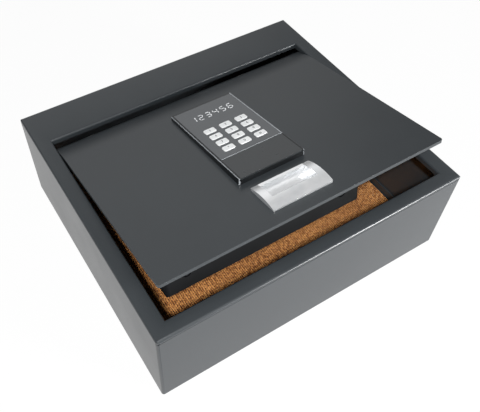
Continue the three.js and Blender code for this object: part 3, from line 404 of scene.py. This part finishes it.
def needled_carpet():
    # Needle-punched polypropylene carpet with ribs: dull, tufted fibre, with a painted highlight on the
    # crowns and painted shade in the grooves
    material, tree = new_material("polypropylene_carpet_ribbed")
    coordinates = add(tree, "ShaderNodeTexCoord")
    tufts = add(
        tree,
        "ShaderNodeTexVoronoi",
        {"Scale": 1 / (2.4 * MM), "Randomness": 1.0},
        [("Vector", coordinates, "Object")],
    )
    fibres = blotches(tree, coordinates, 0.7 * MM, 4.0)
    fade = blotches(tree, coordinates, 35 * MM)
    height = add(tree, "ShaderNodeAttribute", {"attribute_name": "rib"})
    # Painted shade in the grooves and painted highlight on the crowns, set by rib height
    rib_shade = two_tone(tree, height, "Fac", "#351607", "#d08a48")
    speck = two_tone(tree, tufts, "Distance", "#e8aa66", "#54280e")
    mixed = add(
        tree,
        "ShaderNodeMix",
        {"data_type": "RGBA", "blend_type": "MIX", 0: 0.5},
        [(6, rib_shade, "Color"), (7, speck, "Color")],
    )
    worn = add(
        tree,
        "ShaderNodeMix",
        {"data_type": "RGBA", "blend_type": "MULTIPLY", 0: 0.35},
        [(6, mixed, 2), (7, two_tone(tree, fade, "Fac", "#b8a898", "#ffffff"), "Color")],
    )
    relief = bumps(tree, 0.7, 0.5 * MM, fibres)
    shader = add(
        tree,
        "ShaderNodeBsdfPrincipled",
        {"Roughness": 0.92, "Sheen Weight": 0.15, "Sheen Roughness": 0.5, "Specular IOR Level": 0.2},
        [("Base Color", worn, 2), ("Normal", relief, "Normal")],
    )
    close_material(tree, shader)
    return material


# Meshes


def new_object(name, mesh):
    piece = bpy.data.objects.new(name, mesh)
    bpy.context.scene.collection.objects.link(piece)
    return piece


def set_material(piece, material):
    piece.data.materials.clear()
    piece.data.materials.append(material)


def smooth_by_angle(mesh):
    for polygon in mesh.polygons:
        polygon.use_smooth = True
    mesh.set_sharp_from_angle(angle=FOLD_ANGLE)


def ease_edges(piece, width, segments=2):
    bevel = piece.modifiers.new("eased_edges", "BEVEL")
    bevel.width = width
    bevel.segments = segments
    bevel.limit_method = "ANGLE"
    bevel.angle_limit = FOLD_ANGLE
    bevel.harden_normals = True
    return bevel


def settle(piece):
    """Turns a piece with live modifiers into a plain mesh."""
    bpy.context.view_layer.update()
    depsgraph = bpy.context.evaluated_depsgraph_get()
    mesh = bpy.data.meshes.new_from_object(piece.evaluated_get(depsgraph))
    piece.modifiers.clear()
    piece.data = mesh
    return piece


def whole_copy(node):
    """A copy of a CAD node with its loose triangles joined into flat convex faces."""
    mesh = frame["nodes"][node].data.copy()
    work = bmesh.new()
    work.from_mesh(mesh)
    bmesh.ops.remove_doubles(work, verts=work.verts, dist=WELD)
    bmesh.ops.dissolve_limit(
        work,
        angle_limit=FLAT_ANGLE,
        verts=work.verts,
        edges=work.edges,
        use_dissolve_boundaries=False,
    )
    bmesh.ops.connect_verts_concave(work, faces=work.faces)
    work.to_mesh(mesh)
    work.free()
    return mesh


def chamfer(mesh, width, chosen):
    """Cuts a narrow slope along the edges that chosen() accepts, given both ends."""
    work = bmesh.new()
    work.from_mesh(mesh)
    edges = [edge for edge in work.edges if chosen(*(vertex.co for vertex in edge.verts))]
    bmesh.ops.bevel(work, geom=edges, offset=width, segments=1, affect="EDGES", offset_type="OFFSET")
    work.to_mesh(mesh)
    work.free()


def finish_faces(piece, material, chosen):
    """Gives a second finish to the faces that chosen() accepts, given middle and normal."""
    piece.data.materials.append(material)
    for polygon in piece.data.polygons:
        if chosen(polygon.center, polygon.normal):
            polygon.material_index = len(piece.data.materials) - 1


def dress(node, edge, material, prepare=None):
    """Stands a copy of a CAD node in its place, with eased edges and its finish."""
    mesh = whole_copy(node)
    if prepare:
        prepare(mesh)
    smooth_by_angle(mesh)
    piece = new_object(f"{node}_finished", mesh)
    ease_edges(piece, edge)
    settle(piece)
    set_material(piece, material)
    body = frame["nodes"][node]["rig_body"]
    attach(piece, body)
    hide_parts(node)
    return piece


def place_in(piece, matrix):
    """Moves a piece's mesh into its place and leaves the object at the origin."""
    piece.data.transform(matrix)
    return piece


# Camera, lamps and floor


def aim(thing, back):
    thing.rotation_euler = Vector(back).to_track_quat("Z", "Y").to_euler()


def photo_camera():
    azimuth = math.radians(CAMERA_AZIMUTH)
    elevation = math.radians(CAMERA_ELEVATION)
    back = Vector(
        (
            math.sin(azimuth) * math.cos(elevation),
            -math.cos(azimuth) * math.cos(elevation),
            math.sin(elevation),
        )
    )
    data = bpy.data.cameras.new("photo_camera")
    data.lens = CAMERA_LENS
    data.sensor_width = CAMERA_SENSOR
    data.sensor_fit = "HORIZONTAL"
    data.shift_x, data.shift_y = CAMERA_SHIFT
    data.clip_start = 0.01
    camera = bpy.data.objects.new("photo_camera", data)
    bpy.context.scene.collection.objects.link(camera)
    camera.location = Vector(CAMERA_TARGET) + back * CAMERA_DISTANCE
    turn = back.to_track_quat("Z", "Y")
    roll = Matrix.Rotation(math.radians(CAMERA_ROLL), 3, "Z")
    camera.rotation_euler = (turn.to_matrix() @ roll).to_euler()
    bpy.context.scene.camera = camera


def soft_lamp(name, place, target, size, power):
    data = bpy.data.lights.new(name, "AREA")
    data.shape = "DISK"
    data.size = size
    data.energy = power
    lamp = bpy.data.objects.new(name, data)
    bpy.context.scene.collection.objects.link(lamp)
    lamp.location = place
    aim(lamp, Vector(place) - Vector(target))


def soft_step(tree, source, output, span_from, span_to):
    return add(
        tree,
        "ShaderNodeMapRange",
        {
            "interpolation_type": "SMOOTHSTEP",
            "From Min": span_from[0],
            "From Max": span_from[1],
            "To Min": span_to[0],
            "To Max": span_to[1],
        },
        [("Value", source, output)],
    )


def toward(tree, heading, direction):
    """How nearly a ray goes in a direction: 1 is straight at it."""
    return add(
        tree,
        "ShaderNodeVectorMath",
        {"operation": "DOT_PRODUCT", 1: direction},
        [(0, heading, "Generated")],
    )


def white_world():
    """White to the camera, the studio in reflections, and a plain level of light for the rest."""
    world = bpy.data.worlds.new("studio")
    world.use_nodes = True
    tree = world.node_tree
    tree.nodes.clear()
    rays = add(tree, "ShaderNodeLightPath")
    white = add(tree, "ShaderNodeBackground", {"Color": linear("#ffffff"), "Strength": 1.0})
    sky = add(tree, "ShaderNodeBackground", {"Color": linear("#f6f9fc"), "Strength": SKY_LEVEL})
    heading = add(tree, "ShaderNodeTexCoord")
    parts = add(tree, "ShaderNodeSeparateXYZ", links=[("Vector", heading, "Generated")])
    regions = [
        (toward(tree, heading, DARK_SIDE), "Value", (DARK_FROM, DARK_TO), (1.0, DARK_LEVEL)),
        (toward(tree, heading, DARK_WALL), "Value", (WALL_FROM, WALL_TO), (1.0, DARK_LEVEL)),
        (parts, "Z", (FOOT_FROM, FOOT_TO), (DARK_LEVEL, 1.0)),
        (parts, "Z", (OVERHEAD_FROM, OVERHEAD_TO), (1.0, OVERHEAD_LEVEL)),
    ]
    level = soft_step(tree, *regions[0])
    for region in regions[1:]:
        step = soft_step(tree, *region)
        level = multiply(tree, (level, 0), (step, "Result"))
    mirrored = add(
        tree, "ShaderNodeBackground", {"Color": linear("#ffffff")}, [("Strength", level, "Value")]
    )
    plain = add(
        tree,
        "ShaderNodeMixShader",
        links=[("Fac", rays, "Is Glossy Ray"), (1, sky, "Background"), (2, mirrored, "Background")],
    )
    mixed = add(
        tree,
        "ShaderNodeMixShader",
        links=[("Fac", rays, "Is Camera Ray"), (1, plain, "Shader"), (2, white, "Background")],
    )
    add(tree, "ShaderNodeOutputWorld", links=[("Surface", mixed, "Shader")])
    bpy.context.scene.world = world


def pale_floor():
    half = FLOOR_HALF
    corners = [(-half, -half, 0), (half, -half, 0), (half, half, 0), (-half, half, 0)]
    mesh = bpy.data.meshes.new("floor")
    mesh.from_pydata(corners, [], [(0, 1, 2, 3)])
    floor = new_object("floor", mesh)
    material, tree = new_material("floor_white_paint")
    rays = add(tree, "ShaderNodeLightPath")
    paint = add(tree, "ShaderNodeBsdfDiffuse", {"Color": linear("#f2f2f2")})
    white = add(tree, "ShaderNodeEmission", {"Color": linear("#ffffff"), "Strength": 1.0})
    seen = add(
        tree,
        "ShaderNodeMath",
        {"operation": "MAXIMUM"},
        [(0, rays, "Is Camera Ray"), (1, rays, "Is Glossy Ray")],
    )
    share = add(
        tree,
        "ShaderNodeMath",
        {"operation": "MULTIPLY", 1: FLOOR_WHITE_SHARE},
        [(0, seen, "Value")],
    )
    mixed = add(
        tree,
        "ShaderNodeMixShader",
        links=[("Fac", share, "Value"), (1, paint, "BSDF"), (2, white, "Emission")],
    )
    add(tree, "ShaderNodeOutputMaterial", links=[("Surface", mixed, "Shader")])
    set_material(floor, material)


# Geometry Nodes


def new_group(name, inputs):
    """An empty tree with these inputs, given as (name, kind), and the node that brings them in."""
    tree = bpy.data.node_groups.new(name, "GeometryNodeTree")
    for socket, kind in [("Geometry", "Geometry"), *inputs]:
        tree.interface.new_socket(socket, in_out="INPUT", socket_type=f"NodeSocket{kind}")
    tree.interface.new_socket("Geometry", in_out="OUTPUT", socket_type="NodeSocketGeometry")
    return tree, add(tree, "NodeGroupInput")


def close_group(tree, whole, given, material):
    finished = add(
        tree,
        "GeometryNodeSetMaterial",
        links=[("Geometry", whole, "Geometry"), ("Material", given, material)],
    )
    add(tree, "NodeGroupOutput", links=[("Geometry", finished, "Geometry")])
    return tree


# Mat


def ribs_tree():
    """A row of half-round ribs over a rectangle, each with tufts along it."""
    lengths = [(name, "Float") for name in ("Width", "Length", "Pitch", "Height")]
    tree, given = new_group("carpet_ribs", [*lengths, ("Carpet", "Material")])
    across = add(
        tree, "ShaderNodeMath", {"operation": "DIVIDE"}, [(0, given, "Width"), (1, given, "Pitch")]
    )
    count_x = add(
        tree,
        "ShaderNodeMath",
        {"operation": "MULTIPLY_ADD", 1: RIB_COLUMNS, 2: 1.0},
        [(0, across, "Value")],
    )
    along = add(
        tree, "ShaderNodeMath", {"operation": "DIVIDE"}, [(0, given, "Length"), (1, given, "Pitch")]
    )
    count_y = add(
        tree,
        "ShaderNodeMath",
        {"operation": "MULTIPLY_ADD", 1: RIB_ROWS, 2: 1.0},
        [(0, along, "Value")],
    )
    grid = add(
        tree,
        "GeometryNodeMeshGrid",
        links=[
            ("Size X", given, "Width"),
            ("Size Y", given, "Length"),
            ("Vertices X", count_x, "Value"),
            ("Vertices Y", count_y, "Value"),
        ],
    )
    place = add(tree, "GeometryNodeInputPosition")
    parts = add(tree, "ShaderNodeSeparateXYZ", links=[("Vector", place, "Position")])
    turns = add(tree, "ShaderNodeMath", {"operation": "DIVIDE"}, [(0, parts, "X"), (1, given, "Pitch")])
    angle = add(tree, "ShaderNodeMath", {"operation": "MULTIPLY", 1: math.pi}, [(0, turns, "Value")])
    wave = add(tree, "ShaderNodeMath", {"operation": "SINE"}, [(0, angle, "Value")])
    rib = add(tree, "ShaderNodeMath", {"operation": "ABSOLUTE"}, [(0, wave, "Value")])
    uneven = add(
        tree,
        "ShaderNodeTexNoise",
        {"Scale": 1 / TUFT_SIZE, "Detail": 1.0},
        [("Vector", place, "Position")],
    )
    swell = add(
        tree,
        "ShaderNodeMapRange",
        {"To Min": TUFT_SWELL[0], "To Max": TUFT_SWELL[1]},
        [("Value", uneven, "Fac")],
    )
    height = multiply(tree, (rib, "Value"), (swell, "Result"))
    lift = multiply(tree, (height, "Value"), (given, "Height"))
    offset = add(tree, "ShaderNodeCombineXYZ", links=[("Z", lift, "Value")])
    raised = add(
        tree, "GeometryNodeSetPosition", links=[("Geometry", grid, "Mesh"), ("Offset", offset, "Vector")]
    )
    stored = add(
        tree,
        "GeometryNodeStoreNamedAttribute",
        {"data_type": "FLOAT", "domain": "POINT", "Name": "rib"},
        [("Geometry", raised, "Geometry"), ("Value", rib, "Value")],
    )
    whole = add(tree, "GeometryNodeRealizeInstances", links=[("Geometry", stored, "Geometry")])
    return close_group(tree, whole, given, "Carpet")


def run_tree(piece, tree, inputs):
    """Runs a Geometry Nodes tree on a piece and keeps the result as a plain mesh."""
    modifier = piece.modifiers.new("made", "NODES")
    modifier.node_group = tree
    for item in tree.interface.items_tree:
        if item.item_type == "SOCKET" and item.in_out == "INPUT" and item.name in inputs:
            modifier[item.identifier] = inputs[item.name]
    return settle(piece)


def ribbed_mat(material):
    low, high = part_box("floor_mat")
    mat = new_object("carpet_mat", bpy.data.meshes.new("carpet_mat"))
    run_tree(
        mat,
        ribs_tree(),
        {
            "Width": high.x - low.x,
            "Length": high.y - low.y,
            "Pitch": RIB_PITCH,
            "Height": RIB_HEIGHT,
            "Carpet": material,
        },
    )
    work = bmesh.new()
    work.from_mesh(mat.data)
    middle = ((low.x + high.x) / 2, (low.y + high.y) / 2, high.z - RIB_HEIGHT)
    bmesh.ops.translate(work, verts=work.verts, vec=middle)
    rim = [edge for edge in work.edges if edge.is_boundary]
    skirt = bmesh.ops.extrude_edge_only(work, edges=rim)["geom"]
    lower = [item for item in skirt if isinstance(item, bmesh.types.BMVert)]
    for vertex in lower:
        vertex.co.z = low.z
    bmesh.ops.contextual_create(work, geom=[edge for edge in work.edges if edge.is_boundary])
    bmesh.ops.recalc_face_normals(work, faces=work.faces)
    work.to_mesh(mat.data)
    work.free()
    set_material(mat, material)
    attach(mat, frame["nodes"]["floor_mat"]["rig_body"])
    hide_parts("floor_mat")


# Screws of the lock cover


def screw_row_tree():
    """A straight row of button-head screws, each a stack of rings with a round socket."""
    lengths = [(name, "Float") for name in ("Step", "Radius", "Height")]
    tree, given = new_group("screw_row", [("Count", "Int"), *lengths, ("Finish", "Material")])
    disc = add(
        tree,
        "GeometryNodeMeshCircle",
        {"fill_type": "NGON", "Vertices": SCREW_SIDES},
        [("Radius", given, "Radius")],
    )
    shape, output, chosen = disc, "Mesh", None
    for rise, shrink in SCREW_RINGS:
        lift = add(tree, "ShaderNodeMath", {"operation": "MULTIPLY", 1: rise}, [(0, given, "Height")])
        raised = add(
            tree,
            "GeometryNodeExtrudeMesh",
            links=[("Mesh", shape, output), ("Offset Scale", lift, "Value")],
        )
        if chosen:
            tree.links.new(chosen.outputs["Top"], raised.inputs["Selection"])
        shape = add(
            tree,
            "GeometryNodeScaleElements",
            {"Scale": shrink},
            [("Geometry", raised, "Mesh"), ("Selection", raised, "Top")],
        )
        output, chosen = "Geometry", raised
    under = add(tree, "GeometryNodeFlipFaces", links=[("Mesh", disc, "Mesh")])
    joined = add(tree, "GeometryNodeJoinGeometry")
    tree.links.new(shape.outputs["Geometry"], joined.inputs[0])
    tree.links.new(under.outputs["Mesh"], joined.inputs[0])
    head = add(
        tree, "GeometryNodeMergeByDistance", {"Distance": WELD}, [("Geometry", joined, "Geometry")]
    )
    step = add(tree, "ShaderNodeCombineXYZ", links=[("Y", given, "Step")])
    line = add(
        tree, "GeometryNodeMeshLine", links=[("Count", given, "Count"), ("Offset", step, "Vector")]
    )
    placed = add(
        tree,
        "GeometryNodeInstanceOnPoints",
        links=[("Points", line, "Mesh"), ("Instance", head, "Geometry")],
    )
    whole = add(tree, "GeometryNodeRealizeInstances", links=[("Geometry", placed, "Instances")])
    return close_group(tree, whole, given, "Finish")


def cover_screws(material):
    """A row of screws through each flange of the lock cover, up into the lid."""
    tree = screw_row_tree()
    low, high = span("lock_cover", level_lid)
    to_lid = level_lid.inverted()
    points = [to_lid @ vertex.co for vertex in frame["nodes"]["lock_cover"].data.vertices]
    flange_low = min(point.z for point in points if point.x < low.x + 1 * MM)
    length = high.y - low.y - 2 * SCREW_FROM_END
    for side, x in (("left", low.x + SCREW_FROM_EDGE), ("right", high.x - SCREW_FROM_EDGE)):
        row = new_object(f"cover_screws_{side}", bpy.data.meshes.new("row"))
        run_tree(
            row,
            tree,
            {
                "Count": SCREW_COUNT,
                "Step": length / (SCREW_COUNT - 1),
                "Radius": SCREW_RADIUS,
                "Height": SCREW_HEIGHT,
                "Finish": material,
            },
        )
        smooth_by_angle(row.data)
        turned = Matrix.Rotation(math.pi, 4, "Y")
        first = Matrix.Translation((x, low.y + SCREW_FROM_END, flange_low))
        place_in(row, level_lid @ first @ turned)
        set_material(row, material)
        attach(row, "lid")


# Keypad print

SEGMENTS = {
    "1": "bc",
    "2": "abged",
    "3": "abgcd",
    "4": "fgbc",
    "5": "afgcd",
    "6": "afgecd",
}


def segment_outline(letter):
    """The six-sided outline of one display segment, as (x, y) from the digit's middle."""
    half_x = DIGIT_WIDTH / 2
    half_y = DIGIT_HEIGHT / 2
    centres = {
        "a": (0, half_y, True),
        "b": (half_x, half_y / 2, False),
        "c": (half_x, -half_y / 2, False),
        "d": (0, -half_y, True),
        "e": (-half_x, -half_y / 2, False),
        "f": (-half_x, half_y / 2, False),
        "g": (0, 0, True),
    }
    x, y, level = centres[letter]
    half = (half_x if level else half_y / 2) - DIGIT_STROKE * SEGMENT_SHORTER
    thick = DIGIT_STROKE / 2
    tip = half - thick
    shape = [(-half, 0), (-tip, -thick), (tip, -thick), (half, 0), (tip, thick), (-tip, thick)]
    if not level:
        shape = [(-v, u) for u, v in shape]
    return [(x + u, y + v) for u, v in shape]


def extruded(work, outline, height):
    """Adds a thin upright plate with this outline to a mesh being built."""
    verts = [work.verts.new((x, y, 0)) for x, y in outline]
    face = work.faces.new(verts)
    top = bmesh.ops.extrude_face_region(work, geom=[face])["geom"]
    for item in top:
        if isinstance(item, bmesh.types.BMVert):
            item.co.z = height


def display_digits(matrix, rear, material):
    work = bmesh.new()
    figures = "123456"
    for place, figure in enumerate(figures):
        middle = (place - (len(figures) - 1) / 2) * DIGIT_PITCH
        for letter in SEGMENTS[figure]:
            outline = [(x + y * DIGIT_SLANT + middle, y) for x, y in segment_outline(letter)]
            extruded(work, outline, INK)
    bmesh.ops.recalc_face_normals(work, faces=work.faces)
    mesh = bpy.data.meshes.new("display_digits")
    work.to_mesh(mesh)
    work.free()
    digits = new_object("display_digits", mesh)
    place_in(digits, matrix @ Matrix.Translation((0, rear - DISPLAY_FROM_REAR, 0)))
    set_material(digits, material)
    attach(digits, "lid")


def key_legend(node, text, matrix, material):
    curve = bpy.data.curves.new(f"legend_{node}", "FONT")
    curve.body = text
    curve.size = LEGEND_SIZE
    curve.align_x = "CENTER"
    curve.align_y = "CENTER"
    curve.extrude = INK / 2
    curve.resolution_u = 3
    source = new_object(f"legend_source_{node}", curve)
    bpy.context.view_layer.update()
    depsgraph = bpy.context.evaluated_depsgraph_get()
    mesh = bpy.data.meshes.new_from_object(source.evaluated_get(depsgraph))
    bpy.data.objects.remove(source)
    work = bmesh.new()
    work.from_mesh(mesh)
    bmesh.ops.remove_doubles(work, verts=work.verts, dist=ON_PLANE)
    work.to_mesh(mesh)
    work.free()
    low, high = span(node, matrix)
    legend = new_object(f"legend_{node}", mesh)
    middle = (low + high) / 2
    place_in(legend, matrix @ Matrix.Translation((middle.x, middle.y, high.z + INK / 2)))
    set_material(legend, material)
    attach(legend, frame["nodes"][node]["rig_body"])


# Making it all

photo_camera()
white_world()
soft_lamp(*KEY_LAMP)
soft_lamp(*FILL_LAMP)
pale_floor()

charcoal = powder_coat_charcoal()
black_coat = powder_coat_black()
chrome = satin_chrome()
zinc = zinc_plate()
oxide = black_oxide()
brass = machined_brass()
abs_graphite = moulded_abs()
fascia = gloss_fascia()
cover = cover_plastic()
painted_highlight = painted_highlight_plastic()
white_keys = key_plastic()
nylon = natural_nylon()
sleeve = shrink_sleeve()
board = solder_mask()
carpet = needled_carpet()
white_ink = screen_ink("ink_white", "#f4f6f8")
grey_ink = screen_ink("ink_dark_grey", "#232629")

SLOT_FINISH = {
    "case_paint": (charcoal, SHEET_EDGE),
    "lid_paint": (charcoal, LID_EDGE),
    "cover_paint": (black_coat, SMALL_EDGE),
    "chrome": (chrome, PULL_EDGE),
    "zinc_steel": (zinc, SMALL_EDGE),
    "brass": (brass, SMALL_EDGE),
    "black_plastic": (abs_graphite, MOULDED_EDGE),
    "fascia_plastic": (fascia, SMALL_EDGE),
    "key_plastic": (white_keys, KEY_EDGE),
    "nylon": (nylon, SMALL_EDGE),
    "circuit_board": (board, BOARD_EDGE),
    "cell_wrap": (sleeve, SMALL_EDGE),
}

NODE_FINISH = {
    "front_panel": (charcoal, CUT_EDGE),
    "rear_panel": (charcoal, CUT_EDGE),
    "override_cover": (cover, SMALL_EDGE),
    "lock_bolt_left": (oxide, SMALL_EDGE),
    "lock_bolt_right": (oxide, SMALL_EDGE),
    "bolt_guide_left": (oxide, SMALL_EDGE),
    "bolt_guide_right": (oxide, SMALL_EDGE),
}

level_keypad = slope_frame((0, 0, 0), KEYPAD_TILT)
fascia_low, fascia_high = span("keypad_fascia", level_keypad)
rails_low, rails_high = span("keypad_housing", level_keypad)
to_level = level_keypad.inverted()
level_lid = slope_frame((0, 0, 0), LID_TILT)


def fascia_rim(*ends):
    """Whether an edge is the fascia's upper right or upper front edge."""
    points = [to_level @ end for end in ends]
    return all(point.z > fascia_high.z - NEAR for point in points) and (
        all(point.x > fascia_high.x - NEAR for point in points)
        or all(point.y < fascia_low.y + NEAR for point in points)
    )


def fascia_slope(middle, normal):
    """Whether a face is one of the fascia's two cut slopes, which get the painted highlight."""
    point = to_level @ middle
    facing = to_level.to_3x3() @ normal
    near = FASCIA_CHAMFER * 1.5
    at_rim = point.x > fascia_high.x - near or point.y < fascia_low.y + near
    return 0.2 < facing.z < 0.95 and at_rim


wrap_low, wrap_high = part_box("body_wrap")


def opening_rim(*ends):
    """Whether an edge of the folded case lies on the upper rim of the opening."""
    return all(
        end.z > wrap_high.z - NEAR
        and wrap_low.x + BORDER_CLEAR < end.x < wrap_high.x - BORDER_CLEAR
        and wrap_low.y + BORDER_CLEAR < end.y < wrap_high.y - BORDER_CLEAR
        for end in ends
    )


def part_at(work, co, normal):
    """Parts every face that crosses a plane along the plane."""
    geometry = [*work.verts, *work.edges, *work.faces]
    bmesh.ops.bisect_plane(work, geom=geometry, dist=ON_PLANE, plane_co=co, plane_no=normal)


def rear_fall(mesh):
    """Bends the rear strip of the lid gently down towards its rolled edge."""
    work = bmesh.new()
    work.from_mesh(mesh)
    to_lid = level_lid.inverted()
    points = [to_lid @ vertex.co for vertex in work.verts]
    top = max(point.z for point in points)
    flat_end = max(point.y for point in points if point.z > top - NEAR)
    start = flat_end - REAR_FALL_LENGTH
    turn = level_lid.to_3x3()
    for step in range(REAR_FALL_STEPS):
        line = start + REAR_FALL_LENGTH * step / REAR_FALL_STEPS
        part_at(work, level_lid @ Vector((0, line, 0)), turn @ Vector((0, 1, 0)))
    for vertex in work.verts:
        way = ((to_lid @ vertex.co).y - start) / REAR_FALL_LENGTH
        drop = REAR_FALL * min(max(way, 0), 1) ** 2
        vertex.co += turn @ Vector((0, 0, -drop))
    work.to_mesh(mesh)
    work.free()


def rail_cut(mesh):
    """Parts the rails' tops at the fascia's front edge, so that the painted highlight on the right
    rail's top can end there.
    """
    work = bmesh.new()
    work.from_mesh(mesh)
    across = level_keypad.to_3x3() @ Vector((0, 1, 0))
    part_at(work, level_keypad @ Vector((0, fascia_low.y, 0)), across)
    work.to_mesh(mesh)
    work.free()


def rail_slope(middle, normal):
    """Whether a face gets the painted highlight: an upper slope of a side rail, the right one's top or a
    front corner.
    """
    point = to_level @ middle
    facing = to_level.to_3x3() @ normal
    left = facing.x < -0.3 and point.x < rails_low.x + RAIL_WIDTH
    right = facing.x > 0.3 and point.x > rails_high.x - RAIL_WIDTH
    beside = facing.z > 0.9 and point.x > fascia_high.x and point.y > fascia_low.y
    upper = facing.z > 0.2 and (left or right) or beside
    corner = abs(facing.x) > 0.25 and facing.y < -0.25 and abs(facing.z) < 0.3
    return upper or corner


for part in frame["record"]["subparts"]:
    node = part["node"]
    if node == "keypad_fascia":
        panel = dress(
            node, SMALL_EDGE, fascia, lambda mesh: chamfer(mesh, FASCIA_CHAMFER, fascia_rim)
        )
        # The fascia's cut slopes get a painted highlight
        finish_faces(panel, painted_highlight, fascia_slope)
    elif node == "lid_plate":
        dress(node, LID_EDGE, charcoal, rear_fall)
    elif node == "body_wrap":
        dress(node, SHEET_EDGE, charcoal, lambda mesh: chamfer(mesh, LIP_FOLD, opening_rim))
    elif node == "keypad_housing":
        # The rails' upper slopes, the right rail's top and the rails' front corners get a painted
        # highlight
        finish_faces(dress(node, MOULDED_EDGE, abs_graphite, rail_cut), painted_highlight, rail_slope)
    elif part["material_slot"] in SLOT_FINISH:
        finish, edge = NODE_FINISH.get(node) or SLOT_FINISH[part["material_slot"]]
        dress(node, edge, finish)

ribbed_mat(carpet)
cover_screws(zinc)

on_fascia = level_keypad @ Matrix.Translation((0, 0, fascia_high.z))
display_digits(on_fascia, fascia_high.y, white_ink)
KEY_TEXT = {"star": "*", "hash": "#"}
for name in ["1", "2", "3", "4", "5", "6", "7", "8", "9", "star", "0", "hash"]:
    key_legend(f"key_{name}", KEY_TEXT.get(name, name), level_keypad, grey_ink)

bpy.context.scene.view_settings.view_transform = "Standard"
